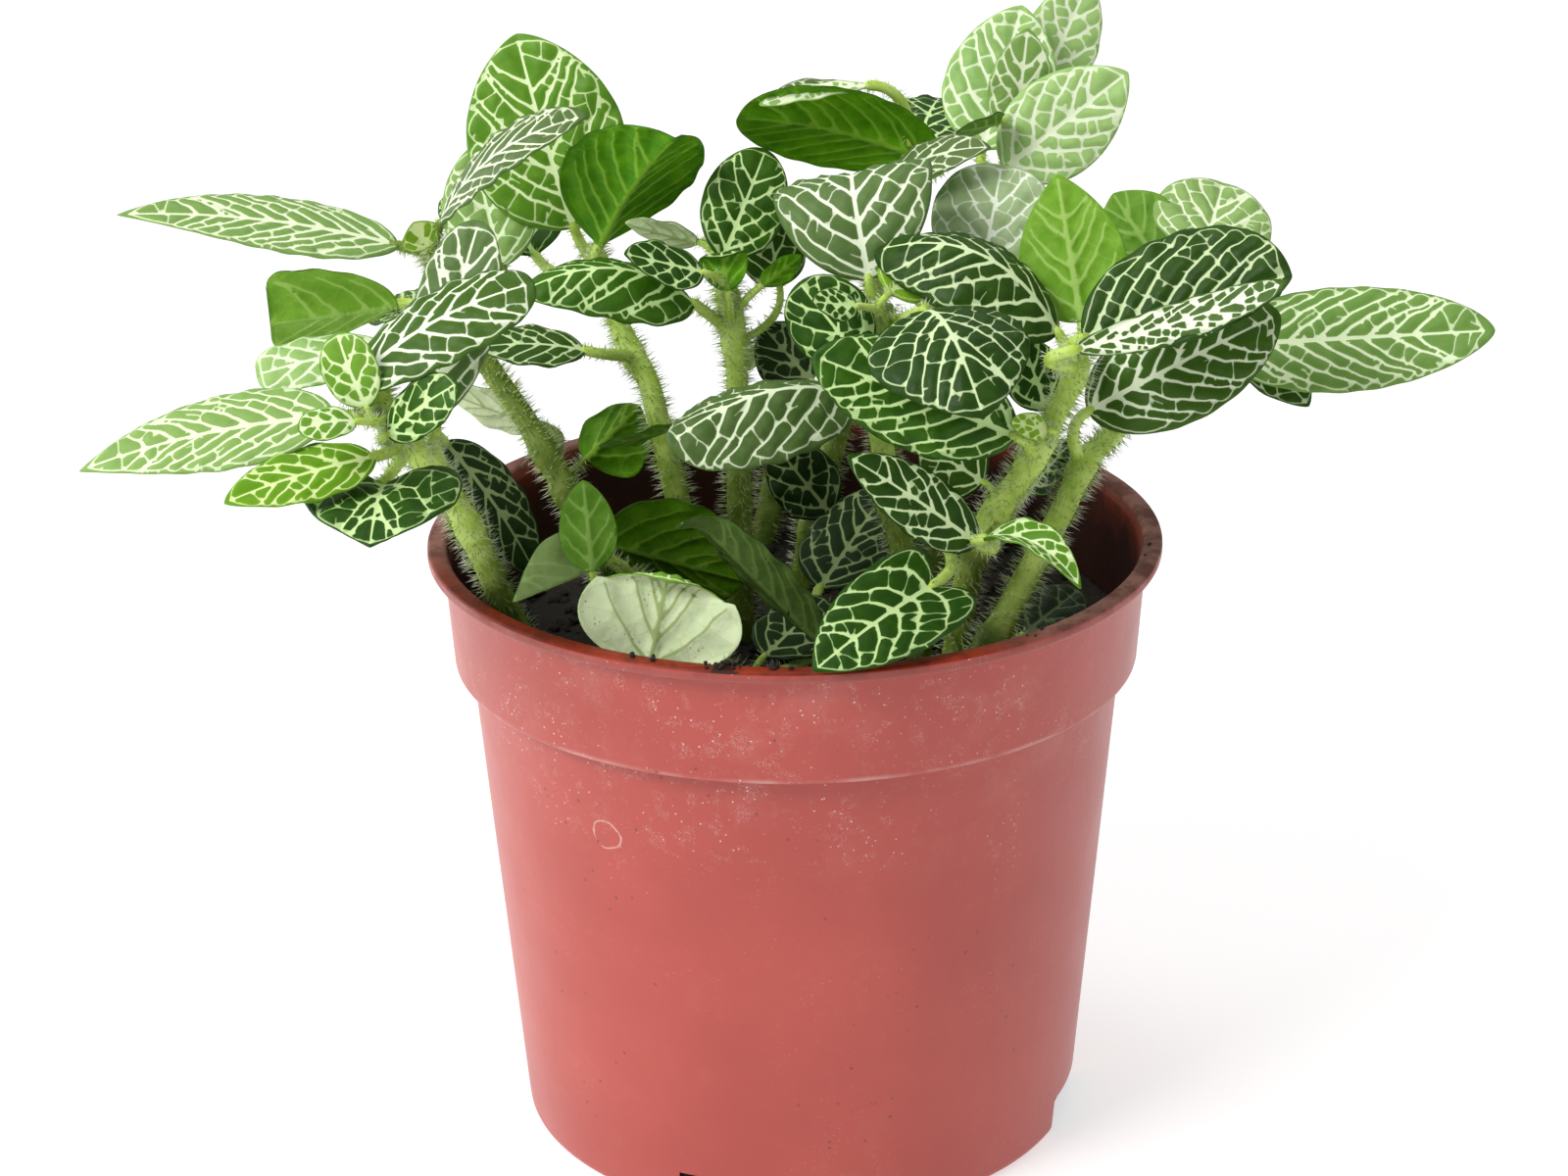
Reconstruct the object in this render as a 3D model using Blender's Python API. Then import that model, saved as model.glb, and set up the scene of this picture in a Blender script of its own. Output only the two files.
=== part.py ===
"""A nerve plant (Fittonia) in a round plastic nursery pot, 12 cm across the lip.

The pot stands on z = 0 with its axis on the Z axis, and the plant's front faces -Y.
Lengths are given in millimetres and turned into metres where a mesh is made.
"""

import math

import bmesh
import bpy
from mathutils import Vector

MM = 0.001

# Pot: a thin tapered wall with a wider band and a turned-out lip at the top.
POT_HEIGHT = 102.0
LIP_RADIUS = 60.0
LIP_WIDTH = 3.0
LIP_THICKNESS = 2.0
BAND_TOP_RADIUS = 57.5
BAND_FOOT_RADIUS = 56.2
BAND_FOOT = 82.0
BODY_TOP_RADIUS = 53.5
BASE_RADIUS = 46.5
BASE_CORNER = 2.0
STEP_SLOPE = 0.8
EDGE = 0.4
WALL = 1.0
FLOOR = 1.6
POT_SIDES = 48

# Four drain notches, cut where the wall meets the floor.
NOTCH_COUNT = 4
NOTCH_FIRST = -12.0
NOTCH_WIDTH = 21.0
NOTCH_HEIGHT = 4.5
NOTCH_DEPTH = 12.0

# Soil fills the pot to a level well under the lip.
SOIL_TOP = 84.0
SOIL_CORNER = 1.4
GAP = 0.35

# Stems and leaves.
STEM_RADIUS = 2.4
STEM_TIP_RADIUS = 1.7
STEM_SIDES = 8
STEM_RINGS = 12
STEM_END = 0.6
COURSE_STEPS = 20
COURSE_SAMPLES = 60
PETIOLE_RADIUS = 0.9
YOUNG_PETIOLE_RADIUS = 0.6
PETIOLE_STATIONS = (0, 0.35, 0.7)
PETIOLE_ANGLES = (180, 135, 90, 45, 0, -60, -90, -120)
PETIOLE_BEND = 0.45
JOIN_BELOW = 4.0
YOUNG_LENGTH = 16.0
BLADE_ABOVE = 0.12
BLADE_BELOW = 0.48
BLADE_RISE = 0.55
BLADE_ROUNDING = 0.25
BLADE_STATIONS = (0.04, 0.14, 0.28, 0.44, 0.6, 0.76, 0.89, 0.985)
YOUNG_STATIONS = (0.05, 0.2, 0.45, 0.7, 0.88, 0.98)
ACROSS_ABOVE = (-1, -0.5, 0, 0.5, 1)
ACROSS_BELOW = (0.5, 0, -0.5)

# Each stem's course, from the soil to its growing tip.
STEMS = {
    "left_front": [
        (-41, -19, 84), (-44, -22, 93), (-47, -25, 102), (-50, -30, 113),
        (-54, -37, 125), (-58, -43, 133), (-61, -45, 138), (-63, -45, 144),
    ],
    "left_back": [
        (-28, 2, 84), (-34, 5, 99), (-38, 8, 107), (-44, 12, 117),
        (-50, 16, 125), (-55, 18, 133), (-58, 18, 142), (-59, 16, 147),
    ],
    "back_left": [
        (-16, 10, 84), (-18, 12, 96), (-22, 15, 114), (-24, 17, 122),
        (-27, 19, 127), (-30, 20, 135), (-33, 20, 145),
    ],
    "mid_left": [
        (-9, -2, 84), (-9, -2, 98), (-9, -2, 110), (-9, -3, 122),
        (-9, -3, 130), (-10, -2, 141), (-11, 0, 145),
    ],
    "centre": [
        (20, -11, 84), (18, -12, 95), (17, -13, 105), (15, -15, 114),
        (14, -16, 123), (14, -14, 131), (14, -12, 138), (15, -10, 144),
    ],
    "mid_right": [
        (25, -19, 84), (26, -20, 91), (27, -22, 101), (29, -24, 108),
        (32, -27, 116), (36, -29, 123), (40, -29, 131), (43, -28, 137), (44, -27, 142),
    ],
    "right": [
        (23, -40, 84), (26, -38, 90), (30, -36, 96), (36, -30, 105), (42, -22, 113),
        (46, -16, 119), (51, -10, 122), (56, -4, 127), (61, 0, 134), (63, 2, 141),
    ],
    "back_centre": [(1, 19, 84), (3, 20, 94), (7, 22, 110), (12, 22, 127), (15, 22, 144), (19, 22, 156)],
    "back_right": [(24, 24, 84), (25, 25, 91), (30, 28, 112), (33, 28, 133), (35, 28, 147), (35, 28, 155)],
    "low_front": [(-7, -29, 84), (-10, -29, 88), (-17, -29, 95), (-24, -26, 102), (-26, -24, 104)],
    "back": [(-6, 39, 84), (-5, 40, 88), (-3, 44, 98), (-2, 46, 110), (2, 46, 123)],
}


def leaf(base, tip, width, faces, arch=0.0, fold=12.0, point=0.75):
    """One leaf: where its blade starts and ends, its full width, and the way its upper side looks.

    arch is how far the midrib bows out of its chord, fold the angle in degrees that each half
    rises from the midrib, and point how slim the tip is, from 0.3, blunt, to 1, drawn out.
    """
    return {
        "base": Vector(base), "tip": Vector(tip), "width": width, "faces": Vector(faces),
        "arch": arch, "fold": fold, "point": point,
    }


# The leaves of each stem, roughly from the lowest to the highest.
LEAVES = {
    "left_front": [
        leaf((-55, -17, 124), (-41, -20, 102), 12, (0.3, -0.6, 0.6), arch=2),
        leaf((-61, -52, 130), (-61, -70, 129), 24, (-0.25, -0.3, 1), arch=3, fold=5),
        leaf((-62, -54, 135), (-83, -65, 132), 11, (0, -0.6, 1), arch=1),
        leaf((-68, -50, 140), (-107, -48, 131), 17, (-0.05, -0.45, 1), arch=2, point=0.95),
        leaf((-55, -36, 142), (-47, -30, 164), 13, (-0.5, -0.8, 0.2), arch=2, point=0.5),
        leaf((-62, -48, 146), (-39, -46, 159), 15, (-0.3, -0.7, 0.8), arch=2, point=0.5),
        leaf((-62, -30, 151), (-81, -34, 150), 16, (0, 1, 0.35), fold=25, point=0.3),
    ],
    "left_back": [
        leaf((-56, 24, 132), (-76, 50, 124), 18, (-0.2, 0, 1), arch=2),
        leaf((-48, 24, 140), (-53, 34, 158), 16, (0, -1, 0.2), arch=1),
        leaf((-64, 14, 147), (-108, 6, 155), 17, (0, -0.25, 1), arch=2, point=0.95),
        leaf((-57, 12, 151), (-32, 0, 172), 14, (-0.45, 0.1, 0.85), arch=4, point=0.6),
    ],
    "back_left": [
        leaf((-34, 10, 130), (-51, 6, 132), 12, (0, -0.3, 0.95), arch=1, point=0.6),
        leaf((-36, 26, 146), (-45, 34, 177), 27, (-0.1, -1, 0.3), arch=3),
        leaf((-31, 10, 148), (-31, -4, 167), 28, (-0.2, 0.8, 0.55), arch=2, fold=20, point=0.6),
        leaf((-43, 31, 140), (-57, 57, 144), 21, (-0.2, 0.1, 1), arch=3),
    ],
    "mid_left": [
        leaf((-17, -6, 143), (-42, -14, 147), 15, (0, -0.4, 0.9), arch=6, fold=-8),
        leaf((-11, -2, 149), (-4, 12, 163), 14, (0.05, -1, 0.2), arch=1, point=0.6),
    ],
    "centre": [
        leaf((-5, -22, 89), (5, -12, 95), 13, (-0.3, -0.6, 0.7)),
        leaf((5, -6, 97), (15, 7, 105), 15, (-0.3, -0.6, 0.7)),
        leaf((22, -44, 110), (3, -64, 104), 17, (-0.1, -0.75, 0.65), arch=1),
        leaf((10, -22, 133), (-19, -36, 130), 18, (-0.1, -0.6, 0.8), arch=3, point=0.5),
        leaf((11, -22, 138), (1, -18, 150), 14, (-0.3, -0.9, 0.2), point=0.5),
        leaf((20, -30, 149), (28, -54, 140), 25, (0, -0.6, 0.8), arch=6, fold=-8),
        leaf((12, -14, 149), (6, 8, 160), 25, (-0.1, -0.85, 0.5), arch=4, point=0.45),
    ],
    "mid_right": [
        leaf((28, -38, 114), (8, -42, 130), 11, (0.2, -0.8, 0.6), arch=1),
        leaf((34, -34, 130), (3, -36, 144), 17, (-0.1, -0.85, 0.45), arch=1, point=0.6),
        leaf((41, -23, 143), (13, -15, 154), 18, (0.2, -0.5, 0.85), arch=6, fold=-10, point=0.6),
        leaf((46, -18, 144), (46, -8, 162), 18, (0.1, 1, 0.2)),
        leaf((44, -32, 145), (75, -36, 156), 27, (-0.1, -0.6, 0.8), fold=32, point=0.5),
    ],
    "right": [
        leaf((46, -20, 129), (75, -24, 146), 22, (0.1, -0.8, 0.6), arch=1, point=0.6),
        leaf((67, -6, 135), (111, -12, 139), 18, (0, -0.8, 0.7), point=0.8),
        leaf((62, 8, 134), (80, 32, 134), 19, (0.2, 0, 1), arch=3),
        leaf((65, -2, 148), (70, 14, 156), 20, (0, -0.8, 0.5), point=0.5),
    ],
    "back_centre": [
        leaf((30, -2, 144), (34, 12, 160), 20, (-0.1, -0.9, 0.45), arch=1, point=0.45),
        leaf((20, 34, 152), (26, 62, 158), 18, (0, -0.2, 1), arch=3),
        leaf((24, 20, 160), (-8, 14, 168), 24, (0.1, 0.8, 0.6), arch=2, fold=15, point=0.5),
    ],
    "back_right": [
        leaf((40, 38, 138), (58, 62, 128), 20, (0.2, 0.2, 1), arch=3),
        leaf((35, 24, 156), (55, 24, 172), 17, (0.2, -0.9, 0.5)),
        leaf((32, 36, 156), (39, 46, 178), 20, (-0.3, -1, 0.3)),
        leaf((42, 46, 163), (51, 56, 180), 14, (0.3, -1, 0.3)),
    ],
    "low_front": [
        leaf((-29, -20, 106), (-10, -18, 102), 20, (0.1, 0.9, 0.3)),
        leaf((-21, -46, 98), (-22, -38, 110), 25, (0, 0.9, 0.4), fold=10, point=0.5),
        leaf((4, -36, 97), (-17, -38, 120), 13, (0.3, 0.7, 0.4), fold=25),
        leaf((-32, -34, 108), (-33, -30, 122), 17, (-0.5, 0.8, 0.3), fold=25, point=0.5),
    ],
    "back": [
        leaf((2, 50, 118), (-8, 76, 104), 18, (-0.2, 0.2, 1), arch=3),
        leaf((22, 42, 117), (38, 66, 111), 19, (0.2, 0.3, 1), arch=3),
        leaf((10, 52, 132), (4, 80, 124), 21, (0, 0.3, 1), arch=3),
    ],
}


def clear_scene():
    for obj in list(bpy.data.objects):
        bpy.data.objects.remove(obj, do_unlink=True)


def material(name, colour, roughness):
    made = bpy.data.materials.new(name)
    made.use_nodes = True
    shader = made.node_tree.nodes["Principled BSDF"]
    shader.inputs["Base Color"].default_value = (*colour, 1.0)
    shader.inputs["Roughness"].default_value = roughness
    shader.inputs["Metallic"].default_value = 0.0
    made.diffuse_color = (*colour, 1.0)
    return made


def add_object(name, mesh_data, finish):
    mesh = bpy.data.meshes.new(name)
    mesh_data.to_mesh(mesh)
    mesh_data.free()
    mesh.shade_smooth()
    mesh.set_sharp_from_angle(angle=math.radians(40))
    mesh.materials.append(finish)
    obj = bpy.data.objects.new(name, mesh)
    bpy.context.scene.collection.objects.link(obj)
    return obj


def skin(rings, closed_loop=False):
    """A closed body through rings of points in millimetres, each ring with as many points.

    The ends are capped with a face, or the last ring joins the first when closed_loop is set.
    """
    body = bmesh.new()
    loops = [[body.verts.new(point * MM) for point in ring] for ring in rings]
    pairs = list(zip(loops, loops[1:]))
    if closed_loop:
        pairs.append((loops[-1], loops[0]))
    count = len(loops[0])
    for low, high in pairs:
        for i in range(count):
            j = (i + 1) % count
            body.faces.new((low[i], low[j], high[j], high[i]))
    if not closed_loop:
        body.faces.new(loops[0][::-1])
        body.faces.new(loops[-1])
    bmesh.ops.recalc_face_normals(body, faces=body.faces)
    return body


def turned(profile, sides):
    """A solid of revolution; the profile starts and ends on the axis."""
    body = bmesh.new()
    rims = []
    for radius, z in profile:
        if radius == 0:
            rims.append([body.verts.new((0, 0, z * MM))])
            continue
        rim = []
        for k in range(sides):
            angle = 2 * math.pi * k / sides
            point = Vector((radius * math.sin(angle), -radius * math.cos(angle), z))
            rim.append(body.verts.new(point * MM))
        rims.append(rim)
    for low, high in zip(rims, rims[1:]):
        for k in range(sides):
            n = (k + 1) % sides
            corners = [low[k % len(low)], low[n % len(low)], high[n % len(high)], high[k % len(high)]]
            body.faces.new(list(dict.fromkeys(corners)))
    bmesh.ops.recalc_face_normals(body, faces=body.faces)
    return body


def pot_profile():
    """The pot's outline, from the centre of its underside round to the centre of its floor."""
    corner = []
    for degrees in (0, 30, 60, 90):
        angle = math.radians(degrees)
        corner.append((
            BASE_RADIUS - BASE_CORNER * (1 - math.sin(angle)),
            BASE_CORNER * (1 - math.cos(angle)),
        ))
    step = BAND_FOOT_RADIUS - BODY_TOP_RADIUS
    lip_foot = POT_HEIGHT - LIP_THICKNESS
    outside = [
        (BODY_TOP_RADIUS, BAND_FOOT - STEP_SLOPE),
        (BAND_FOOT_RADIUS - EDGE, BAND_FOOT - STEP_SLOPE / 2),
        (BAND_FOOT_RADIUS, BAND_FOOT),
        (BAND_TOP_RADIUS, lip_foot - EDGE),
        (LIP_RADIUS - EDGE, lip_foot),
        (LIP_RADIUS, lip_foot + EDGE),
        (LIP_RADIUS, POT_HEIGHT - EDGE),
        (LIP_RADIUS - EDGE, POT_HEIGHT),
    ]
    inside = [
        (LIP_RADIUS - LIP_WIDTH + EDGE, POT_HEIGHT),
        (BAND_TOP_RADIUS - WALL, lip_foot),
        (BAND_FOOT_RADIUS - WALL, BAND_FOOT + WALL),
        (BAND_FOOT_RADIUS - WALL - step, BAND_FOOT - WALL),
        (BASE_RADIUS - WALL, FLOOR + WALL),
        (BASE_RADIUS - 2 * WALL, FLOOR),
    ]
    return [(0, 0)] + corner + outside + inside + [(0, FLOOR)]


def add_notch_cutter(index):
    body = bmesh.new()
    bmesh.ops.create_cube(body, size=1.0)
    cutter = add_object(f"notch_cutter_{index}", body, bpy.data.materials["cutter"])
    turn = math.radians(NOTCH_FIRST + index * 360 / NOTCH_COUNT)
    reach = BASE_RADIUS
    cutter.location = (reach * MM * math.sin(turn), -reach * MM * math.cos(turn), 0)
    cutter.rotation_euler = (0, 0, turn)
    cutter.scale = (NOTCH_WIDTH * MM, NOTCH_DEPTH * MM, 2 * NOTCH_HEIGHT * MM)
    cutter.hide_render = True
    cutter.display_type = "WIRE"
    return cutter


def add_pot():
    finish = material("terracotta plastic", (0.42, 0.085, 0.055), 0.42)
    material("cutter", (0.5, 0.5, 0.5), 0.5)
    pot = add_object("pot", turned(pot_profile(), POT_SIDES), finish)
    for index in range(NOTCH_COUNT):
        cut = pot.modifiers.new(f"notch {index}", "BOOLEAN")
        cut.operation = "DIFFERENCE"
        cut.solver = "EXACT"
        cut.object = add_notch_cutter(index)


def add_soil():
    """The root ball, which follows the pot's inside with a small gap."""
    foot_radius = BASE_RADIUS - WALL - GAP
    waist_radius = BODY_TOP_RADIUS - WALL - GAP
    top_radius = BAND_FOOT_RADIUS - WALL - GAP
    profile = [
        (0, FLOOR + GAP),
        (foot_radius - SOIL_CORNER, FLOOR + GAP),
        (foot_radius, FLOOR + GAP + SOIL_CORNER),
        (waist_radius, BAND_FOOT - WALL),
        (top_radius, BAND_FOOT + WALL + GAP),
        (top_radius, SOIL_TOP),
        (0, SOIL_TOP),
    ]
    finish = material("dark potting soil", (0.03, 0.02, 0.014), 0.95)
    add_object("soil", turned(profile, POT_SIDES), finish)


def smooth_course(points, count):
    """count points evenly spaced along a Catmull-Rom curve through the given ones."""
    known = [Vector(p) for p in points]
    known = [2 * known[0] - known[1]] + known + [2 * known[-1] - known[-2]]
    fine = []
    for before, start, end, after in zip(known, known[1:], known[2:], known[3:]):
        for step in range(COURSE_STEPS):
            t = step / COURSE_STEPS
            fine.append(0.5 * (
                2 * start + (end - before) * t
                + (2 * before - 5 * start + 4 * end - after) * t ** 2
                + (3 * start - before - 3 * end + after) * t ** 3
            ))
    fine.append(known[-2])
    reach = [0.0]
    for a, b in zip(fine, fine[1:]):
        reach.append(reach[-1] + (b - a).length)
    course = []
    k = 0
    for i in range(count):
        wanted = reach[-1] * i / (count - 1)
        while k < len(fine) - 2 and reach[k + 1] < wanted:
            k += 1
        share = (wanted - reach[k]) / (reach[k + 1] - reach[k])
        course.append(fine[k].lerp(fine[k + 1], share))
    return course


def tangent(course, i):
    return (course[min(i + 1, len(course) - 1)] - course[max(i - 1, 0)]).normalized()


def stem_radius(share):
    return STEM_RADIUS + (STEM_TIP_RADIUS - STEM_RADIUS) * share


def add_stem(name, points, finish):
    """A tapering round stem whose foot is cut level, a small gap above the soil."""
    course = smooth_course(points, STEM_RINGS)
    foot = SOIL_TOP + GAP
    across = Vector((0, -1, 0))
    rings = []
    for i, centre in enumerate(course):
        along = tangent(course, i)
        across = (across - along * across.dot(along)).normalized()
        sideways = along.cross(across)
        radius = stem_radius(i / (len(course) - 1))
        if i == len(course) - 1:
            radius *= STEM_END
        ring = []
        for k in range(STEM_SIDES):
            angle = 2 * math.pi * k / STEM_SIDES
            point = centre + radius * (math.cos(angle) * across + math.sin(angle) * sideways)
            if i == 0:
                point += along * ((foot - point.z) / along.z)
            ring.append(point)
        rings.append(ring)
    add_object(f"{name}_stem", skin(rings), finish)


def blade_axes(shape):
    """Unit vectors of a leaf: along its chord, out of its upper side, and across it."""
    along = (shape["tip"] - shape["base"]).normalized()
    up = (shape["faces"] - along * shape["faces"].dot(along)).normalized()
    return along, up, along.cross(up)


def half_width(u, point):
    """Share of the full half width at u, from 0 at the blade's base to 1 at its tip."""
    widest = BLADE_RISE / (BLADE_RISE + point)
    peak = widest ** BLADE_RISE * (1 - widest) ** point
    return u ** BLADE_RISE * (1 - u) ** point / peak


def blade_point(shape, u, v):
    """A point of the blade: u runs from base to tip, v from one margin, -1, to the other, 1."""
    along, up, across = blade_axes(shape)
    half = shape["width"] / 2
    x = v * half * half_width(u, shape["point"])
    fold = math.radians(shape["fold"])
    rounding = BLADE_ROUNDING * half * (x / half) ** 2
    lift = abs(x) * math.sin(fold) - rounding + shape["arch"] * 4 * u * (1 - u)
    length = (shape["tip"] - shape["base"]).length
    return shape["base"] + along * (u * length) + up * lift + across * (x * math.cos(fold))


def petiole_rings(shape, course):
    """Rings of the leaf's stalk, from its seat on the stem to the foot of the blade."""
    along, up, across = blade_axes(shape)
    length = (shape["tip"] - shape["base"]).length
    start = (along * length + up * (4 * shape["arch"])).normalized()
    wanted = shape["base"] - Vector((0, 0, JOIN_BELOW)) - 2 * start
    nearest = min(range(1, len(course) - 1), key=lambda i: (course[i] - wanted).length)
    seat = course[nearest]
    stem_axis = tangent(course, nearest)
    bend = shape["base"] - start * (PETIOLE_BEND * (shape["base"] - seat).length)
    away = bend - seat
    away -= stem_axis * away.dot(stem_axis)
    if away.length < GAP:
        away = shape["base"] - seat
        away -= stem_axis * away.dot(stem_axis)
    away.normalize()
    radius = PETIOLE_RADIUS if length > YOUNG_LENGTH else YOUNG_PETIOLE_RADIUS
    slant = abs((bend - seat).normalized().dot(stem_axis))
    foot = seat + away * (stem_radius(nearest / len(course)) + GAP + radius * slant)
    rings = []
    for t in PETIOLE_STATIONS:
        centre = (1 - t) ** 2 * foot + 2 * t * (1 - t) * bend + t * t * shape["base"]
        heading = ((1 - t) * (bend - foot) + t * (shape["base"] - bend)).normalized()
        over = (up - heading * up.dot(heading)).normalized()
        aside = heading.cross(over)
        ring = []
        for degrees in PETIOLE_ANGLES:
            angle = math.radians(degrees)
            ring.append(centre + radius * (math.cos(angle) * aside + math.sin(angle) * over))
        rings.append(ring)
    return rings


def add_leaf(name, shape, course, finish):
    """A stalk and a thin blade in one closed body."""
    up = blade_axes(shape)[1]
    long_leaf = (shape["tip"] - shape["base"]).length > YOUNG_LENGTH
    rings = petiole_rings(shape, course)
    for u in BLADE_STATIONS if long_leaf else YOUNG_STATIONS:
        upper = [blade_point(shape, u, v) + up * BLADE_ABOVE for v in ACROSS_ABOVE]
        lower = [blade_point(shape, u, v) - up * BLADE_BELOW for v in ACROSS_BELOW]
        rings.append(upper + lower)
    add_object(name, skin(rings), finish)


def build():
    clear_scene()
    add_pot()
    add_soil()
    stem_finish = material("green stem", (0.22, 0.36, 0.08), 0.6)
    leaf_finish = material("veined green leaf", (0.06, 0.17, 0.03), 0.45)
    for name, points in STEMS.items():
        add_stem(name, points, stem_finish)
        course = smooth_course(points, COURSE_SAMPLES)
        for number, shape in enumerate(LEAVES[name], 1):
            add_leaf(f"{name}_leaf_{number}", shape, course, leaf_finish)


build()
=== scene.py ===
"""A nerve plant (Fittonia) in a terracotta-coloured plastic nursery pot.

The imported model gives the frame: the pot stands on z = 0 with its axis on the Z axis, and the
plant's front faces -Y. Stems and leaves are laid out by tables in millimetres. They follow the
solids, but bend, fold and roll further, and the small leaves have no solid at all.
"""

import math
import random

import bmesh
import bpy
import numpy as np
from mathutils import Matrix, Vector, geometry, noise


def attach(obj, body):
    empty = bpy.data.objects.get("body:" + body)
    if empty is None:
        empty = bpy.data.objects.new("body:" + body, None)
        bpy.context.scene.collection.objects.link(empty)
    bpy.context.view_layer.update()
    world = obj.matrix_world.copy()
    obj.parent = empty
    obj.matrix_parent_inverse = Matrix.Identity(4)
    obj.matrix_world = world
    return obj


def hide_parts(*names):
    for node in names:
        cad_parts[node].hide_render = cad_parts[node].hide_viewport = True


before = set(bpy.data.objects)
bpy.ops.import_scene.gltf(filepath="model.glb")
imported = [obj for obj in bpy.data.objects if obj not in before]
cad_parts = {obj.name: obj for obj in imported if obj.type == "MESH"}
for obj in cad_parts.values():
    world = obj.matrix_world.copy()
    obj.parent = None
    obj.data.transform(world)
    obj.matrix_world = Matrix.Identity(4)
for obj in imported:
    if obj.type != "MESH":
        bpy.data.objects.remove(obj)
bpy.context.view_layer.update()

MM = 0.001

# Pot.
POT_HEIGHT = 102.0
LIP_RADIUS = 60.0
LIP_WIDTH = 3.0
LIP_THICKNESS = 2.0
BAND_TOP_RADIUS = 57.5
BAND_FOOT_RADIUS = 56.2
BAND_FOOT = 82.0
BODY_TOP_RADIUS = 53.5
BASE_RADIUS = 46.5
BASE_CORNER = 2.0
WALL = 1.0
FLOOR = 1.6
POT_SIDES = 192
NOTCH_COUNT = 4
NOTCH_FIRST = -12.0
NOTCH_WIDTH = 21.0
NOTCH_HEIGHT = 6.8
NOTCH_DEPTH = 12.0
SOIL_TOP = 84.0
GAP = 0.35
LIP_FINISH_FROM = 101.2
STREWN_RADIUS = 53.5
CRUMBS_PER_NOTCH = 45

# Crumbs on the lip: how many degrees round from the front, and how many crumbs.
LIP_CRUMBS = [(-11, 14), (-3, 6), (6, 5), (-24, 3), (38, 3), (80, 2), (150, 5), (230, 4)]

# Stems and leaf stalks.
STEM_RADIUS = 2.4
STEM_TIP_RADIUS = 1.7
STEM_SIDES = 20
STEM_STEP = 1.2
NODE_SWELLING = 0.28
NODE_REACH = 2.6
COURSE_SAMPLES = 60
PETIOLE_RADIUS = 0.9
YOUNG_PETIOLE_RADIUS = 0.6
PETIOLE_SIDES = 10
PETIOLE_RINGS = 14
PETIOLE_BEND = 0.45
JOIN_BELOW = 4.0
YOUNG_LENGTH = 16.0
ROOT_DEPTH = 3.0

# Hairs.
HAIRS_PER_RING = 40
HAIRS_PER_STALK = 130
STEM_HAIR = 2.4
STALK_HAIR = 1.5
HAIR_LEAN = 0.25

# Blades.
BLADE_RISE = 0.55
BLADE_ROUNDING = 0.25
BLADE_THICKNESS = 0.3
CREASE = 0.35
POINT_SPACING = 0.62
VEIN_STEP = 0.8
VEIN_CLEARANCE = 0.3
MARGIN_CLEARANCE = 0.25
WANDER = 0.42
WANDER_SEED = 7
PUCKER = 0.20
QUILT = 0.55
RIB_KEEL = 0.14
MIDRIB_KEEL = 0.75
SMALLEST_SHARE = 1e-4
DEEPEST_CUT = 9
FAR = 1e9
POINTS_AT_ONCE = 600

# Studio, in metres, degrees and watts. A light is its name, place, aim, width and power.
STUDIO_RADIUS = 6.0
SKY_STRENGTH = 0.40
LIGHTS = [
    ("key softbox", (-0.75, -0.65, 1.0), (0, 0, 0.1), 0.6, 13.0),
    ("fill softbox", (0.9, -0.5, 0.6), (0, 0, 0.1), 0.9, 0.8),
    ("side softbox", (-1.0, 0.45, 0.45), (0, 0, 0.08), 1.0, 6.6),
    ("top softbox", (0.1, 0.35, 1.2), (0, 0, 0.12), 0.8, 3.5),
]
CAMERA_LENS = 90.1
CAMERA_PLACE = (0.0, -0.6, 0.33155)
CAMERA_DOWN = 21.778
CAMERA_TURN = 0.177
CAMERA_ROLL = -0.66

# Each stem's course, from the soil to its growing tip.
STEMS = {
    "left_front": [
        (-41, -19, 84), (-44, -22, 93), (-47, -25, 102), (-50, -30, 113),
        (-54, -37, 125), (-58, -43, 133), (-61, -45, 138), (-63, -45, 144),
    ],
    "left_back": [
        (-28, 2, 84), (-34, 5, 99), (-38, 8, 107), (-44, 12, 117),
        (-50, 16, 125), (-55, 18, 133), (-58, 18, 142), (-59, 16, 147),
    ],
    "back_left": [
        (-16, 10, 84), (-18, 12, 96), (-22, 15, 114), (-24, 17, 122),
        (-27, 19, 127), (-30, 20, 135), (-33, 20, 145),
    ],
    "mid_left": [
        (-9, -2, 84), (-9, -2, 98), (-9, -2, 110), (-9, -3, 122),
        (-9, -3, 130), (-10, -2, 141), (-11, 0, 145),
    ],
    "centre": [
        (20, -11, 84), (18, -12, 95), (17, -13, 105), (15, -15, 114),
        (14, -16, 123), (14, -14, 131), (14, -12, 138), (15, -10, 144),
    ],
    "mid_right": [
        (25, -19, 84), (26, -20, 91), (27, -22, 101), (29, -24, 108),
        (32, -27, 116), (36, -29, 123), (40, -29, 131), (43, -28, 137), (44, -27, 142),
    ],
    "right": [
        (23, -40, 84), (26, -38, 90), (30, -36, 96), (36, -30, 105), (42, -22, 113),
        (46, -16, 119), (51, -10, 122), (56, -4, 127), (61, 0, 134), (63, 2, 141),
    ],
    "back_centre": [
        (1, 19, 84), (3, 20, 94), (7, 22, 110), (12, 22, 127), (15, 22, 144), (19, 22, 156),
    ],
    "back_right": [
        (24, 24, 84), (25, 25, 91), (30, 28, 112), (33, 28, 133), (35, 28, 147), (35, 28, 155),
    ],
    "low_front": [(-7, -29, 84), (-10, -29, 88), (-17, -29, 95), (-24, -26, 102), (-26, -24, 104)],
    "back": [(-6, 39, 84), (-5, 40, 88), (-3, 44, 98), (-2, 46, 110), (2, 46, 123)],
}

# How fresh a stem's skin is, where it isn't 1: older stems stay olive up to their leaves.
FRESHNESS = {"left_back": 0.2, "back_left": 0.85, "mid_left": 0.6, "back_centre": 0.7, "back": 0.5}


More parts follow.
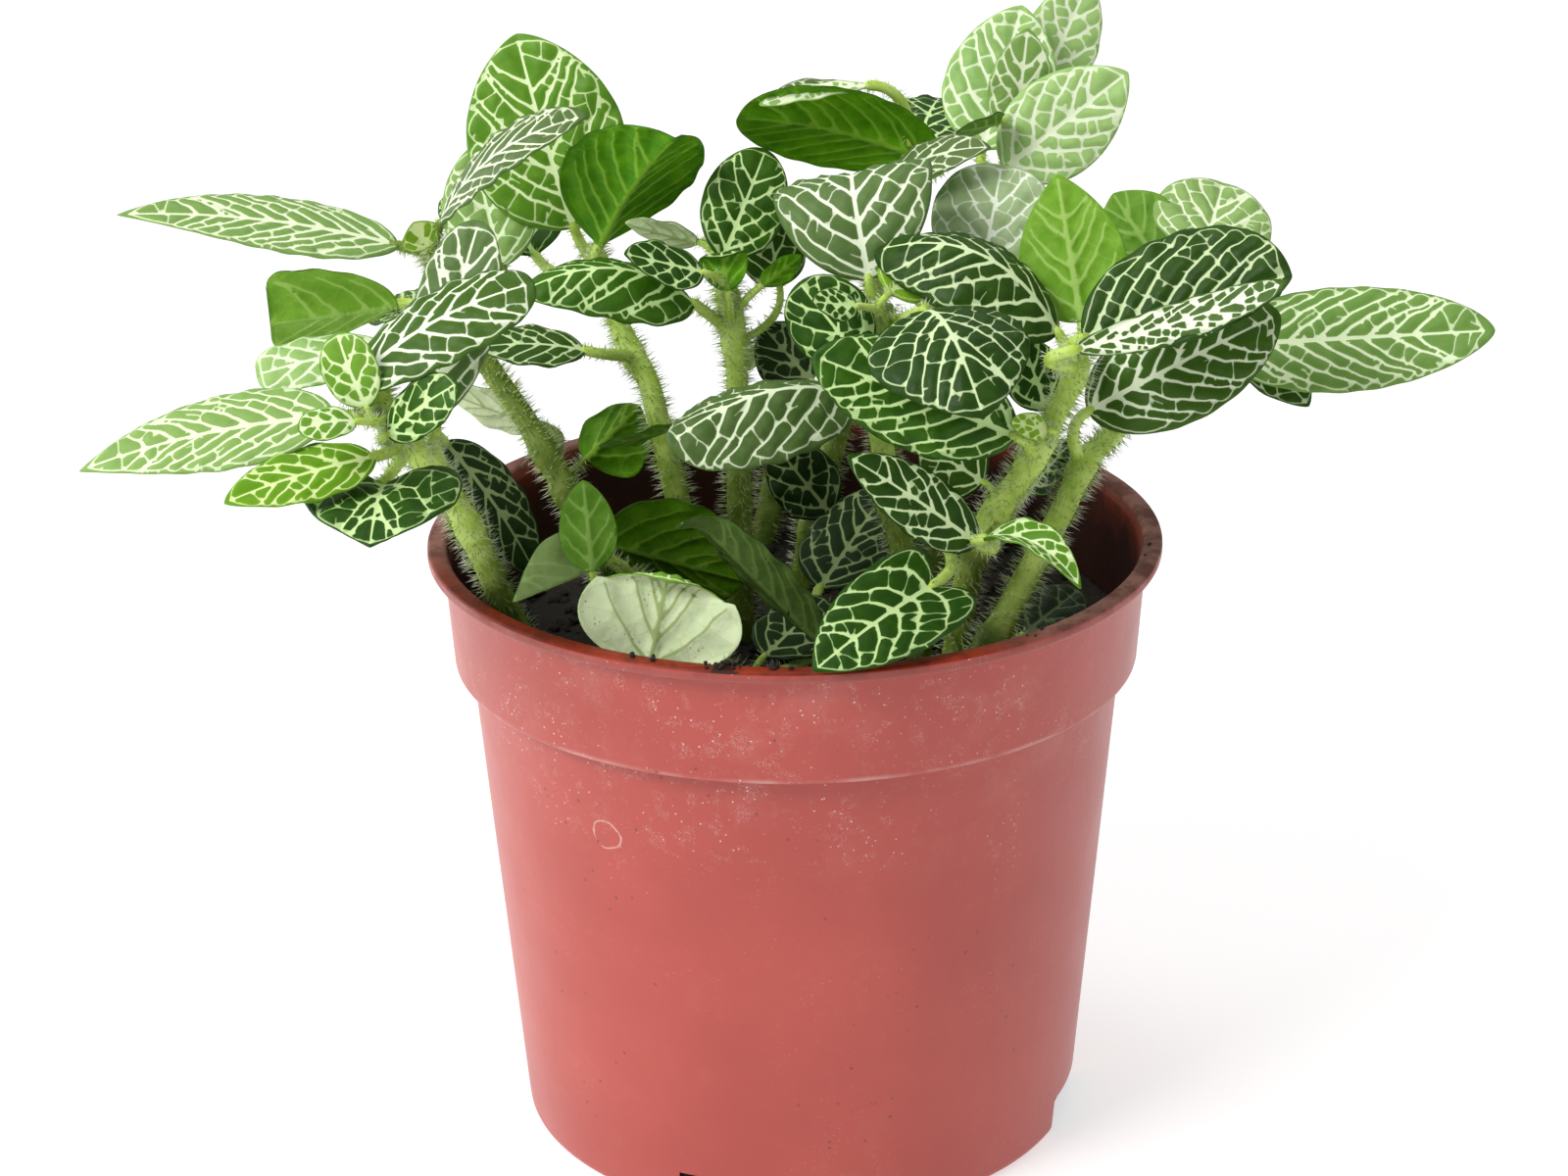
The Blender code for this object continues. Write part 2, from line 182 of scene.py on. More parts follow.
def leaf(tone, base, tip, width, faces, arch=0.0, fold=12.0, near=None, point=0.75, under="fresh",
         wave=0.6, heart=0.0, curl=0.0, flat_to=0.6):
    """One leaf: its tone, where its blade starts and ends, its full width, and its bearing.

    faces is the way its upper side looks, arch how far the midrib bows out of its chord, fold the
    angle in degrees that each half rises from the midrib, and point how slim the tip is. near is
    the fold of the half towards the front, if it differs. under is the tone of its underside, wave
    how much its margin undulates, heart how far its lobes reach back beside the stalk, and curl
    how far in degrees the tip rolls under past flat_to, a share of the length.
    """
    return {
        "tone": tone, "base": Vector(base), "tip": Vector(tip), "width": width,
        "faces": Vector(faces), "arch": arch, "fold": fold, "near": fold if near is None else near,
        "point": point, "under": under, "wave": wave, "heart": heart, "curl": curl,
        "flat_to": flat_to,
    }


# The leaves of each stem that have a solid of their own, roughly from the lowest to the highest.
LEAVES = {
    "left_front": [
        leaf("old_painted_shade", (-55, -17, 124), (-41, -20, 102), 12, (0.3, -0.6, 0.6), arch=2),
        leaf("fresh", (-61, -52, 130), (-61.5, -70.5, 127), 24, (0, -0.35, 1), arch=1.5, fold=9,
             heart=13, point=0.95),
        leaf("young", (-62, -54, 135), (-83, -65, 132), 11, (0, -0.6, 1), arch=1),
        leaf("pale", (-68, -50, 140), (-107, -48, 131), 17, (-0.05, -0.45, 1), arch=2, point=0.95,
             wave=0.3),
        leaf("painted_sheen", (-54, -38, 136), (-47, -30, 164), 14, (-0.3, -0.9, 0.3), arch=2, point=0.5),
        leaf("satin", (-66, -49, 144), (-38, -46, 159), 14, (-0.3, -0.45, 0.9), arch=3, near=-10,
             point=0.42),
        leaf("fresh", (-60, -30, 151), (-79, -34, 149.5), 20, (0, 1, 0.35), fold=38, near=8,
             point=0.12, under="bright"),
    ],
    "left_back": [
        leaf("fresh", (-56, 24, 132), (-76, 50, 124), 18, (-0.2, 0, 1), arch=2),
        leaf("pale", (-48, 24, 140), (-53, 34, 158), 16, (0, -1, 0.2), arch=1),
        leaf("frosted", (-64, 14, 147), (-108, 6, 155), 17, (0, -0.3, 1), arch=2, point=0.95,
             wave=0.3),
        leaf("grey", (-57, 12, 151), (-32, 0, 172), 14, (-0.5, -0.3, 0.8), arch=4, point=0.6),
    ],
    "back_left": [
        leaf("dark", (-34, 10, 130), (-51, 6, 132), 12, (0, -0.3, 0.95), arch=1, point=0.6),
        leaf("light", (-36, 26, 146), (-45, 34, 177), 27, (-0.1, -1, 0.3), arch=3, point=0.7),
        leaf("fresh", (-31, 10, 148), (-18, -6, 170), 27, (-0.2, 0.8, 0.55), arch=2, fold=30,
             near=38, point=0.65, under="glow"),
        leaf("fresh", (-43, 31, 140), (-57, 57, 144), 21, (-0.2, 0.1, 1), arch=3),
    ],
    "mid_left": [
        leaf("fresh", (-15.5, -6, 143), (-43, -13, 147), 15, (0, -0.35, 0.95), arch=6, fold=-15,
             near=-32),
        leaf("fresh", (-11, -2, 149), (-4, 12, 163), 14, (0.05, -1, 0.2), arch=1, point=0.6),
    ],
    "centre": [
        leaf("old_painted_shade", (-5, -22, 89), (5, -12, 95), 13, (-0.3, -0.6, 0.7)),
        leaf("old_painted_shade", (4, -8, 95), (16, 8, 107), 17, (-0.3, -0.6, 0.7)),
        leaf("fresh", (21, -45, 110), (2.5, -64, 104), 16.5, (-0.1, -0.75, 0.65), arch=1.5, fold=10,
             heart=13, point=0.85),
        leaf("grey", (10, -22, 133), (-19, -36, 130), 19, (-0.1, -0.35, 0.95), arch=5, fold=-18,
             near=-38, point=0.5),
        leaf("fresh", (11, -22, 138), (1, -18, 150), 14, (-0.3, -0.9, 0.2), point=0.5),
        leaf("dark", (20, -30, 149), (28, -54, 140), 25, (0, -0.6, 0.8), arch=6, fold=-10),
        leaf("painted_sheen", (12, -14, 149), (7, -3, 176), 26, (-0.1, -0.9, 0.4), arch=1, point=0.45,
             curl=170, flat_to=0.33),
    ],
    "mid_right": [
        leaf("dark", (28, -38, 114), (8, -42, 130), 11, (0.2, -0.8, 0.6), arch=1),
        leaf("fresh", (34, -34, 130), (3, -36, 144), 17, (-0.1, -0.85, 0.45), arch=1, point=0.6),
        leaf("dark", (41, -23, 143), (13, -15, 154), 18, (0.2, -0.4, 0.9), arch=8, fold=-14,
             near=-34, point=0.6),
        leaf("fresh", (45, -18, 143), (41.5, -8, 164), 18, (0.1, 1, 0.2), fold=18, under="bright",
             point=0.85),
        leaf("dark", (44, -32, 145), (75, -36, 156), 27, (-0.1, -0.6, 0.8), fold=24, near=42,
             point=0.5),
    ],
    "right": [
        leaf("satin", (46, -20, 129), (75, -24, 146), 19, (0.1, -0.8, 0.6), arch=1, point=0.6),
        leaf("pale", (67, -6, 135), (110.5, -12, 139), 18.5, (0, -0.8, 0.7), point=0.66, wave=0.4),
        leaf("fresh", (62, 8, 134), (80, 32, 134), 19, (0.2, 0, 1), arch=3),
        leaf("frosted", (65, -2, 148), (70, 14, 156), 20, (0, -0.8, 0.5), point=0.5),
    ],
    "back_centre": [
        leaf("painted_silver_sheen", (30, -2, 144), (34, 12, 160), 20, (-0.1, -0.9, 0.45), arch=1, point=0.45),
        leaf("fresh", (20, 34, 152), (26, 62, 158), 18, (0, -0.2, 1), arch=3),
        leaf("fresh", (24, 20, 158.4), (-8.4, 14, 168), 22, (0.1, 0.8, 0.6), arch=2, fold=15,
             point=0.5, under="glow", wave=0.25),
    ],
    "back_right": [
        leaf("fresh", (40, 38, 138), (58, 62, 128), 20, (0.2, 0.2, 1), arch=3),
        leaf("milky", (35, 24, 156), (55, 24, 172), 17, (0.2, -0.9, 0.5)),
        leaf("milky", (32, 36, 156), (39, 46, 178), 20, (-0.3, -1, 0.3)),
        leaf("milky", (42, 46, 163), (51, 56, 180), 14, (0.3, -1, 0.3)),
    ],
    "low_front": [
        leaf("dark", (-31, -19, 108), (-8, -19, 101), 26, (0.1, 0.9, 0.3), point=0.6, under="deep"),
        leaf("light", (-22.6, -46, 97), (-18.6, -39, 114), 25.5, (0.1, 0.9, 0.4), fold=-4,
             point=0.78, under="dusty", curl=150, flat_to=0.66),
        leaf("dark", (4, -36, 97), (-17.5, -38, 121.5), 12, (0.3, 0.7, 0.4), fold=35,
             under="shaded", curl=70, flat_to=0.75),
        leaf("fresh", (-31.4, -35, 108.9), (-32.6, -32, 122.9), 9.5, (-0.15, 0.9, 0.3), fold=18),
    ],
    "back": [
        leaf("fresh", (2, 50, 118), (-8, 76, 104), 18, (-0.2, 0.2, 1), arch=3),
        leaf("light", (22, 42, 117), (38, 66, 111), 19, (0.2, 0.3, 1), arch=3),
        leaf("fresh", (10, 52, 132), (4, 80, 124), 21, (0, 0.3, 1), arch=3),
    ],
}

# Small, young or half-hidden leaves, which have no solid.
SMALL_LEAVES = {
    "left_front": [
        leaf("light", (-63, -52, 142), (-67, -50, 153), 9, (-0.2, -1, 0.3), arch=1, point=0.5),
        leaf("light", (-64, -58, 142), (-72, -62, 142), 6, (-0.2, -0.7, 0.7), arch=1, point=0.5),
        leaf("fresh", (-60, -53, 138), (-49, -56, 147), 9, (-0.3, -0.8, 0.6), arch=1, point=0.5),
        leaf("milky", (-62, -35, 146), (-81, -38, 142.5), 10, (0, -0.55, 0.85), arch=0.5,
             point=0.3),
    ],
    "left_back": [
        leaf("young", (-59, 12, 147), (-61, 10, 152), 7, (0, -0.9, 0.5)),
        leaf("fresh", (-43, 25, 112), (-59, 29, 117), 12, (0.1, 0.8, 0.6), under="dusty"),
        leaf("fresh", (-34.7, 13, 110), (-25.5, 17, 118), 16, (0.15, 0.95, 0.3), fold=4, near=72,
             under="deep", wave=1.2),
    ],
    "mid_left": [
        leaf("fresh", (-14, -9, 149), (-26, -15, 154), 10, (0, -0.55, 0.85)),
        leaf("fresh", (-15, 3, 150.4), (-26.6, 5, 153.2), 8, (0, 0.75, 0.65), under="dusty"),
        leaf("fresh", (-4.7, -4, 145.3), (1.5, -4, 150.2), 5, (-0.2, 0.9, 0.3), under="glow"),
        leaf("fresh", (-10.2, -6, 145), (-11.3, -4.5, 153), 8, (0, 0.9, 0.2), point=0.4,
             under="glow", curl=150),
        leaf("dark", (-2, 7, 141.5), (-4, 9, 153), 11, (0.2, -0.9, 0.3)),
        leaf("fresh", (-19, -8, 123), (-31, -14, 122), 7, (0, 0.7, 0.8)),
    ],
    "centre": [
        leaf("young", (15, -21, 149), (20, -16, 152), 9, (0, -0.8, 0.6)),
        leaf("fresh", (10, -24, 148), (3, -28, 150), 6, (0, -0.7, 0.7)),
        leaf("old_painted_shade", (3, 2, 127), (-5, 4, 136), 12, (-0.2, -0.9, 0.3)),
    ],
    "mid_right": [
        leaf("light", (29, -41, 116), (43, -52, 112), 9, (0.3, -0.5, 0.8), arch=4, fold=40),
        leaf("satin", (42, -43, 146.8), (73, -46, 158), 6.5, (0, -0.75, 0.65), arch=-2, point=0.6),
        leaf("fresh", (39.5, -22, 130), (35.5, -18, 141), 10, (0.1, -0.9, 0.3)),
        leaf("dark", (30, -16, 116), (20, -14, 122), 12, (-0.2, -0.8, 0.5)),
        leaf("young", (39, -34, 131), (33, -36, 133), 5, (0, -0.7, 0.7)),
        leaf("fresh", (37, -20, 116), (44, -14, 122), 9, (0.8, 0.3, 0.5), under="deep"),
    ],
    "right": [
        leaf("satin", (71, -2, 137), (82, -10, 126), 11, (0.4, -0.8, 0.5)),
        leaf("fresh", (58, 4, 147), (52, 12, 155), 14, (-0.3, 0.8, 0.4)),
        leaf("fresh", (59, -10, 150), (69, -7, 154), 9, (0, 0.6, 0.9)),
        leaf("painted_deep_shade", (36, -24, 93), (46, -12, 96), 12, (0, -0.6, 0.8)),
    ],
    "back_centre": [
        leaf("grey", (15, 34, 162), (-3, 30, 167), 13, (0, -0.6, 0.8)),
        leaf("frosted", (12.6, 15, 172.6), (-5, 12, 170.4), 3.6, (0, -0.5, 0.85), arch=1,
             point=0.5),
        leaf("grey", (15, 12, 157), (32, 8, 164), 12, (0, -0.3, 0.9), arch=2),
        leaf("old_painted_shade", (6, 10, 101), (-4, 14, 113), 12, (-0.3, -0.8, 0.4)),
    ],
    "back_right": [
        leaf("frosted", (37, 28, 160), (39, 30, 178), 11, (0, -1, 0.3)),
        leaf("fresh", (34, 24, 164), (27, 15, 165), 8, (0, 0.8, 0.5)),
    ],
    "low_front": [
        leaf("fresh", (-31, -30.5, 108.5), (-44, -35, 104), 17, (0.05, 1, 0.15), fold=68,
             near=5, under="matt", point=1.15),
    ],
}

# Of the upper side: the cells' colours, deep and light, the veins' colour, and how much wider
# the veins are, in mm.
TONES = {
    # old_painted_shade and painted_deep_shade are painted shade: darker cells for leaves low inside
    # the plant, where shade falls. The first also has the duller veins of old leaves.
    "old_painted_shade": ((0.006, 0.024, 0.001), (0.018, 0.046, 0.004), (0.28, 0.35, 0.16), 0.0),
    "painted_deep_shade": ((0.005, 0.016, 0.002), (0.012, 0.028, 0.004), (0.10, 0.14, 0.06), 0.0),
    "dark": ((0.012, 0.045, 0.001), (0.032, 0.085, 0.004), (0.62, 0.76, 0.42), 0.0),
    "fresh": ((0.014, 0.058, 0.001), (0.042, 0.130, 0.004), (0.60, 0.80, 0.35), 0.0),
    "satin": ((0.042, 0.104, 0.007), (0.085, 0.165, 0.022), (0.80, 0.88, 0.66), 0.0),
    # grey, painted_sheen and painted_silver_sheen are painted sheen: cells greyed and lightened to
    # show the grey sheen of lit leaves.
    "grey": ((0.056, 0.112, 0.021), (0.108, 0.168, 0.050), (0.74, 0.84, 0.58), 0.0),
    "painted_sheen": ((0.090, 0.165, 0.040), (0.155, 0.230, 0.080), (0.85, 0.92, 0.70), 0.02),
    "painted_silver_sheen": ((0.300, 0.420, 0.190), (0.430, 0.540, 0.310), (0.84, 0.90, 0.74), 0.0),
    "light": ((0.090, 0.235, 0.012), (0.165, 0.340, 0.030), (0.74, 0.88, 0.48), 0.03),
    "pale": ((0.138, 0.270, 0.050), (0.222, 0.375, 0.092), (0.76, 0.88, 0.56), 0.03),
    "frosted": ((0.185, 0.330, 0.075), (0.275, 0.440, 0.130), (0.82, 0.90, 0.62), 0.04),
    "milky": ((0.240, 0.425, 0.110), (0.350, 0.550, 0.180), (0.85, 0.93, 0.68), 0.08),
    "young": ((0.115, 0.285, 0.006), (0.235, 0.430, 0.025), (0.72, 0.86, 0.37), 0.0),
}

# Of the underside: its colours, deep and light, and the veins' colour.
UNDERSIDES = {
    # shaded is painted shade. glow is painted light: an underside lit as if light shone through the
    # leaf.
    "shaded": ((0.050, 0.098, 0.015), (0.092, 0.150, 0.030), (0.120, 0.190, 0.045)),
    "deep": ((0.036, 0.125, 0.001), (0.088, 0.225, 0.003), (0.22, 0.38, 0.04)),
    "glow": ((0.055, 0.210, 0.001), (0.125, 0.350, 0.003), (0.24, 0.46, 0.04)),
    "fresh": ((0.085, 0.220, 0.010), (0.150, 0.325, 0.030), (0.28, 0.46, 0.10)),
    "matt": ((0.240, 0.390, 0.095), (0.350, 0.500, 0.175), (0.42, 0.60, 0.22)),
    "bright": ((0.130, 0.310, 0.014), (0.210, 0.420, 0.040), (0.38, 0.58, 0.14)),
    "dusty": ((0.460, 0.600, 0.300), (0.650, 0.750, 0.460), (0.27, 0.36, 0.10)),
}


class Value:
    """A shader socket that arithmetic can be written with."""

    def __init__(self, finish, socket):
        self.finish = finish
        self.socket = socket

    def maths(self, operation, first, second):
        return self.finish.node("ShaderNodeMath", {"operation": operation}, {0: first, 1: second})

    def __add__(self, other):
        return self.maths("ADD", self, other)

    def __radd__(self, other):
        return self.maths("ADD", other, self)

    def __sub__(self, other):
        return self.maths("SUBTRACT", self, other)

    def __rsub__(self, other):
        return self.maths("SUBTRACT", other, self)

    def __mul__(self, other):
        return self.maths("MULTIPLY", self, other)

    def __rmul__(self, other):
        return self.maths("MULTIPLY", other, self)


class Finish:
    """A material whose nodes are added one by one; make() joins them to its shader."""

    def __init__(self, name):
        self.material = bpy.data.materials.new(name)
        self.material.use_nodes = True
        self.tree = self.material.node_tree
        self.shader = self.tree.nodes["Principled BSDF"]

    def plug(self, socket, value):
        if isinstance(value, Value):
            self.tree.links.new(value.socket, socket)
        elif isinstance(value, tuple) and len(value) == 3 and socket.type == "RGBA":
            socket.default_value = (*value, 1.0)
        else:
            socket.default_value = value

    def node(self, kind, settings=None, inputs=None, output=0):
        """A node of this kind with these settings, then values or links for its sockets."""
        made = self.tree.nodes.new(kind)
        for name, setting in (settings or {}).items():
            setattr(made, name, setting)
        for name, value in (inputs or {}).items():
            self.plug(made.inputs[name], value)
        return Value(self, made.outputs[output])

    def attribute(self, name):
        """A number that the mesh holds for each of its points."""
        return self.node("ShaderNodeAttribute", {"attribute_name": name}, output="Fac")

    def place(self):
        """Coordinates on the piece, in millimetres."""
        inputs = {0: self.node("ShaderNodeTexCoord", output="Object"), "Scale": 1 / MM}
        return self.node("ShaderNodeVectorMath", {"operation": "SCALE"}, inputs)

    def height(self):
        """Height above the ground, in millimetres."""
        return self.node("ShaderNodeSeparateXYZ", inputs={0: self.place()}, output="Z")

    def from_point(self, point):
        """Distance from a point, in millimetres."""
        inputs = {0: self.place(), 1: point}
        return self.node("ShaderNodeVectorMath", {"operation": "DISTANCE"}, inputs, "Value")

    def towards(self, heading):
        """How far along a heading a place lies, in millimetres."""
        inputs = {0: self.place(), 1: heading}
        return self.node("ShaderNodeVectorMath", {"operation": "DOT_PRODUCT"}, inputs, "Value")

    def cloud(self, scale, detail=2.0, roughness=0.5, warp=0.0):
        """Soft noise from 0 to 1, with scale patches to the millimetre."""
        inputs = {"Vector": self.place(), "Scale": scale, "Detail": detail,
                  "Roughness": roughness, "Distortion": warp}
        return self.node("ShaderNodeTexNoise", inputs=inputs, output="Fac")

    def grains(self, scale):
        """Distance to the nearest of scattered points, scale points to the millimetre."""
        inputs = {"Vector": self.place(), "Scale": scale}
        return self.node("ShaderNodeTexVoronoi", inputs=inputs, output="Distance")

    def between(self, value, low, high):
        """0 below low, 1 above high, eased between; low may be the larger."""
        settings = {"interpolation_type": "SMOOTHSTEP"}
        if low > high:
            inputs = {"Value": value, "From Min": high, "From Max": low, "To Min": 1.0,
                      "To Max": 0.0}
        else:
            inputs = {"Value": value, "From Min": low, "From Max": high}
        return self.node("ShaderNodeMapRange", settings, inputs)

    def mix(self, share, first, second):
        """A colour between two."""
        settings = {"data_type": "RGBA"}
        return self.node("ShaderNodeMix", settings, {0: share, 6: first, 7: second}, output=2)

    def relief(self, height, strength, distance):
        """A Normal with this height's bumps, distance metres deep."""
        inputs = {"Height": height, "Strength": strength, "Distance": distance}
        return self.node("ShaderNodeBump", inputs=inputs)

    def make(self, **sockets):
        """Joins the shader's sockets, named with _ for a space, and returns the material."""
        for name, value in sockets.items():
            self.plug(self.shader.inputs[name.replace("_", " ")], value)
        return self.material


def leaf_upper(tone):
    """Green cells between cream veins, on a satin surface of very fine grains."""
    deep, light, cream, wider = TONES[tone]
    f = Finish(f"veined leaf, {tone}")
    edge = f.attribute("vein") - wider
    rim = f.attribute("rim")
    shade = f.attribute("shade")
    patches = f.cloud(0.35, 3.0)
    green = f.mix(f.between(patches * 0.6 + shade * 0.4, 0.3, 0.7), deep, light)
    halo = f.between(edge, 0.5, 0.0) * 0.25
    green = f.mix(halo, green, light)
    green = f.mix(f.between(rim, 0.35, 0.1) * 0.3, green, deep)
    line = f.between(edge + f.cloud(2.2, 1.0) * 0.04 - 0.02, 0.08, -0.05)
    fade = f.between(rim, 0.02, 0.3)
    vein = f.mix(f.between(f.attribute("rib"), 0.4, 0.0) * 0.3 + 0.7, light, cream)
    colour = f.mix(line * fade, green, vein)
    fine = f.grains(5.0) * 0.5 + f.cloud(1.6, 2.0)
    return f.make(
        Base_Color=colour,
        Roughness=f.between(f.cloud(0.8), 0.2, 0.8) * 0.12 + 0.40,
        Normal=f.relief(fine, 0.35, 0.00012),
        Specular_IOR_Level=0.17,
    )


def leaf_underside(tone):
    """A plain matt green with faint paler veins."""
    deep, light, pale = UNDERSIDES[tone]
    f = Finish(f"leaf underside, {tone}")
    edge = f.attribute("vein")
    ribs = f.attribute("rib")
    shade = f.attribute("shade")
    green = f.mix(f.between(f.cloud(0.3, 3.0) * 0.7 + shade * 0.3, 0.3, 0.7), deep, light)
    green = f.mix(f.between(edge, 0.12, -0.1) * 0.2, green, pale)
    green = f.mix(f.between(ribs, 0.25, -0.1) * 0.75, green, pale)
    if tone == "dusty":
        specks = f.between(f.grains(1.1), 0.26, 0.1) * f.between(f.cloud(0.15), 0.5, 0.65)
        green = f.mix(specks * 0.7, green, (0.16, 0.10, 0.05))
    fine = f.grains(4.0) * 0.6 + f.cloud(1.2, 3.0)
    return f.make(
        Base_Color=green,
        Roughness=f.cloud(0.6) * 0.15 + 0.5,
        Normal=f.relief(fine, 0.4, 0.00015),
        Specular_IOR_Level=0.14,
    )


def stem_skin():
    """Light green, darker and browner near the soil and on the older stems."""
    f = Finish("green stem skin")
    ripe = f.attribute("ripe")
    streaks = f.cloud(0.35, 3.0)
    green = f.mix(f.between(streaks, 0.3, 0.7), (0.41, 0.58, 0.070), (0.53, 0.70, 0.17))
    olive = f.mix(f.between(streaks, 0.3, 0.7), (0.090, 0.150, 0.012), (0.170, 0.230, 0.030))
    colour = f.mix(f.between(ripe + streaks * 0.2, 0.2, 0.75), olive, green)
    return f.make(
        Base_Color=colour,
        Roughness=f.cloud(1.5) * 0.15 + 0.45,
        Normal=f.relief(f.cloud(0.5, 2.0), 0.2, 0.0003),
        Specular_IOR_Level=0.3,
    )


def hair_white():
    """Green like the skin at its root, and white towards its tip."""
    f = Finish("fine white hair")
    ripe = f.attribute("ripe")
    root = f.mix(ripe, (0.13, 0.20, 0.02), (0.42, 0.60, 0.10))
    tip = f.mix(ripe, (0.62, 0.66, 0.45), (0.84, 0.88, 0.72))
    colour = f.mix(f.between(f.attribute("tip"), 0.15, 0.75), root, tip)
    return f.make(Base_Color=colour, Roughness=0.5)


def terracotta_plastic():
    """Moulded plastic with limescale, scuffs, a soiled lip and a painted highlight along the band's
    foot.
    """
    f = Finish("terracotta plastic")
    height = f.height()
    mottle = f.between(f.cloud(0.035, 4.0), 0.3, 0.7)
    colour = f.mix(mottle, (0.395, 0.055, 0.042), (0.445, 0.068, 0.051))
    haze = f.between(f.cloud(0.09, 5.0, 0.65), 0.48, 0.75) * f.between(height, 55.0, 86.0)
    colour = f.mix(haze * 0.15, colour, (0.62, 0.30, 0.26))
    low = f.between(f.cloud(0.12, 4.0, 0.6), 0.55, 0.8) * f.between(height, 70.0, 0.0)
    colour = f.mix(low * 0.2, colour, (0.50, 0.14, 0.11))
    zone = f.between(height, 52.0, 84.0) * 0.86 + 0.14
    where = f.between(f.cloud(0.07, 3.0), 0.46, 0.62)
    bands = f.cloud(0.55, 4.0, 0.6, warp=3.0)
    curls = f.between(bands, 0.489, 0.5) * f.between(bands, 0.511, 0.5)
    curls = curls * f.between(f.cloud(0.35, 3.0), 0.52, 0.62) * (where * 0.8 + 0.2)
    specks = f.between(f.grains(0.75), 0.15, 0.06) * (where * 0.85 + 0.15)
    dust = f.between(f.cloud(2.2, 3.0, 0.7), 0.62, 0.72) * f.between(f.cloud(0.2, 4.0), 0.52, 0.66)
    patch = f.between(f.cloud(0.16, 6.0, 0.8), 0.66, 0.76)
    everywhere = (curls * 1.5 + specks * 1.3 + dust * 0.25 + patch * 0.5) * zone
    # Painted highlight: a thin pale line round the band's foot edge, for the edge catching the
    # light, with some lime on it.
    band_edge_highlight = f.between(height, 81.7, 82.2) * f.between(height, 83.0, 82.3)
    band_edge_highlight = band_edge_highlight * (f.between(f.cloud(0.1, 3.0), 0.4, 0.7) * 0.4 + 0.02)
    lime_and_highlight = f.node("ShaderNodeClamp", inputs={0: everywhere + band_edge_highlight})
    colour = f.mix(lime_and_highlight * 0.7, colour, (0.80, 0.66, 0.61))
    ring = stain_ring(f)
    colour = f.mix(ring * 0.5, colour, (0.80, 0.58, 0.52))
    grime = f.between(f.grains(0.35), 0.14, 0.06) * f.between(f.cloud(0.05), 0.55, 0.62)
    colour = f.mix(grime * 0.7, colour, (0.12, 0.035, 0.025))
    lip = f.between(height, 100.2, 101.5)
    colour = f.mix(lip * 0.3, colour, (0.27, 0.034, 0.014))
    soiled = lip * f.between(f.cloud(0.12, 5.0, 0.65), 0.42, 0.62)
    colour = f.mix(soiled * 0.35, colour, (0.080, 0.028, 0.020))
    brow = f.between(height, 99.2, 100.6) * f.between(height, 101.4, 100.8)
    colour = f.mix(brow * 0.45, colour, (0.20, 0.050, 0.038))
    rough = f.cloud(0.08, 3.0) * 0.14 + 0.30 + lime_and_highlight * 0.25 + soiled * 0.3
    surface = f.cloud(0.5, 3.0) * 0.6 + f.cloud(0.06, 2.0) * 3.0 + lime_and_highlight * 0.6
    return f.make(
        Base_Color=colour,
        Roughness=rough,
        Normal=f.relief(surface, 0.25, 0.0002),
        Specular_IOR_Level=0.5,
    )


def soiled_lip():
    """The lip's top: bare plastic at the front, and brown with dried soil further back."""
    f = Finish("soiled plastic lip")
    front = f.between(f.towards((0.35, 0.94, 0.0)), -24.0, -42.0)
    worn = f.between(f.cloud(0.25, 5.0, 0.65), 0.35, 0.65)
    bare = f.mix(worn, (0.150, 0.016, 0.006), (0.275, 0.030, 0.010))
    colour = f.mix(front, (0.250, 0.105, 0.085), bare)
    soiled = f.between(f.cloud(0.12, 5.0, 0.65), 0.42, 0.62) * (1.0 - front * 0.75)
    colour = f.mix(soiled * 0.75, colour, (0.080, 0.028, 0.020))
    clod = f.from_point((-11.0, -58.7, 102.0))
    clod = f.between(clod + f.cloud(0.6, 4.0) * 3.0, 4.0, 3.2)
    colour = f.mix(clod * 0.9, colour, (0.014, 0.009, 0.006))
    return f.make(
        Base_Color=colour,
        Roughness=soiled * 0.3 + 0.4,
        Normal=f.relief(f.cloud(0.4, 4.0), 0.3, 0.0002),
        Specular_IOR_Level=0.15,
    )


def stain_ring(f):
    """The dried ring that a drop left on the pot's side, from 0 to 1."""
    radius = f.from_point((-30.2, -43.1, 67.6)) + f.cloud(0.35, 3.0) * 1.6
    worn = f.between(f.cloud(0.5, 2.0), 0.35, 0.55) * 0.8 + 0.2
    return f.between(radius, 3.15, 3.35) * f.between(radius, 3.6, 3.4) * worn


def pot_inside():
    """The same plastic inside, painted dark for the shade in the pot, less so at the lip where
    light reaches it, and with wet dirt that gathers lower down.
    """
    f = Finish("terracotta plastic, inside")
    height = f.height()
    # Painted shade: dark red below the lip, and lighter near the lip where light reaches in.
    colour = f.mix(f.between(height, 101.5, 97.0), (0.22, 0.040, 0.020), (0.070, 0.014, 0.009))
    dirt = f.between(f.cloud(0.15, 5.0, 0.65) + f.between(height, 101.0, 88.0) * 0.35, 0.5, 0.72)
    colour = f.mix(dirt * 0.8, colour, (0.020, 0.008, 0.006))
    return f.make(
        Base_Color=colour,
        Roughness=f.cloud(0.2) * 0.2 + 0.35,
        Normal=f.relief(f.cloud(0.4, 4.0), 0.4, 0.0004),
        Specular_IOR_Level=0.25,
    )


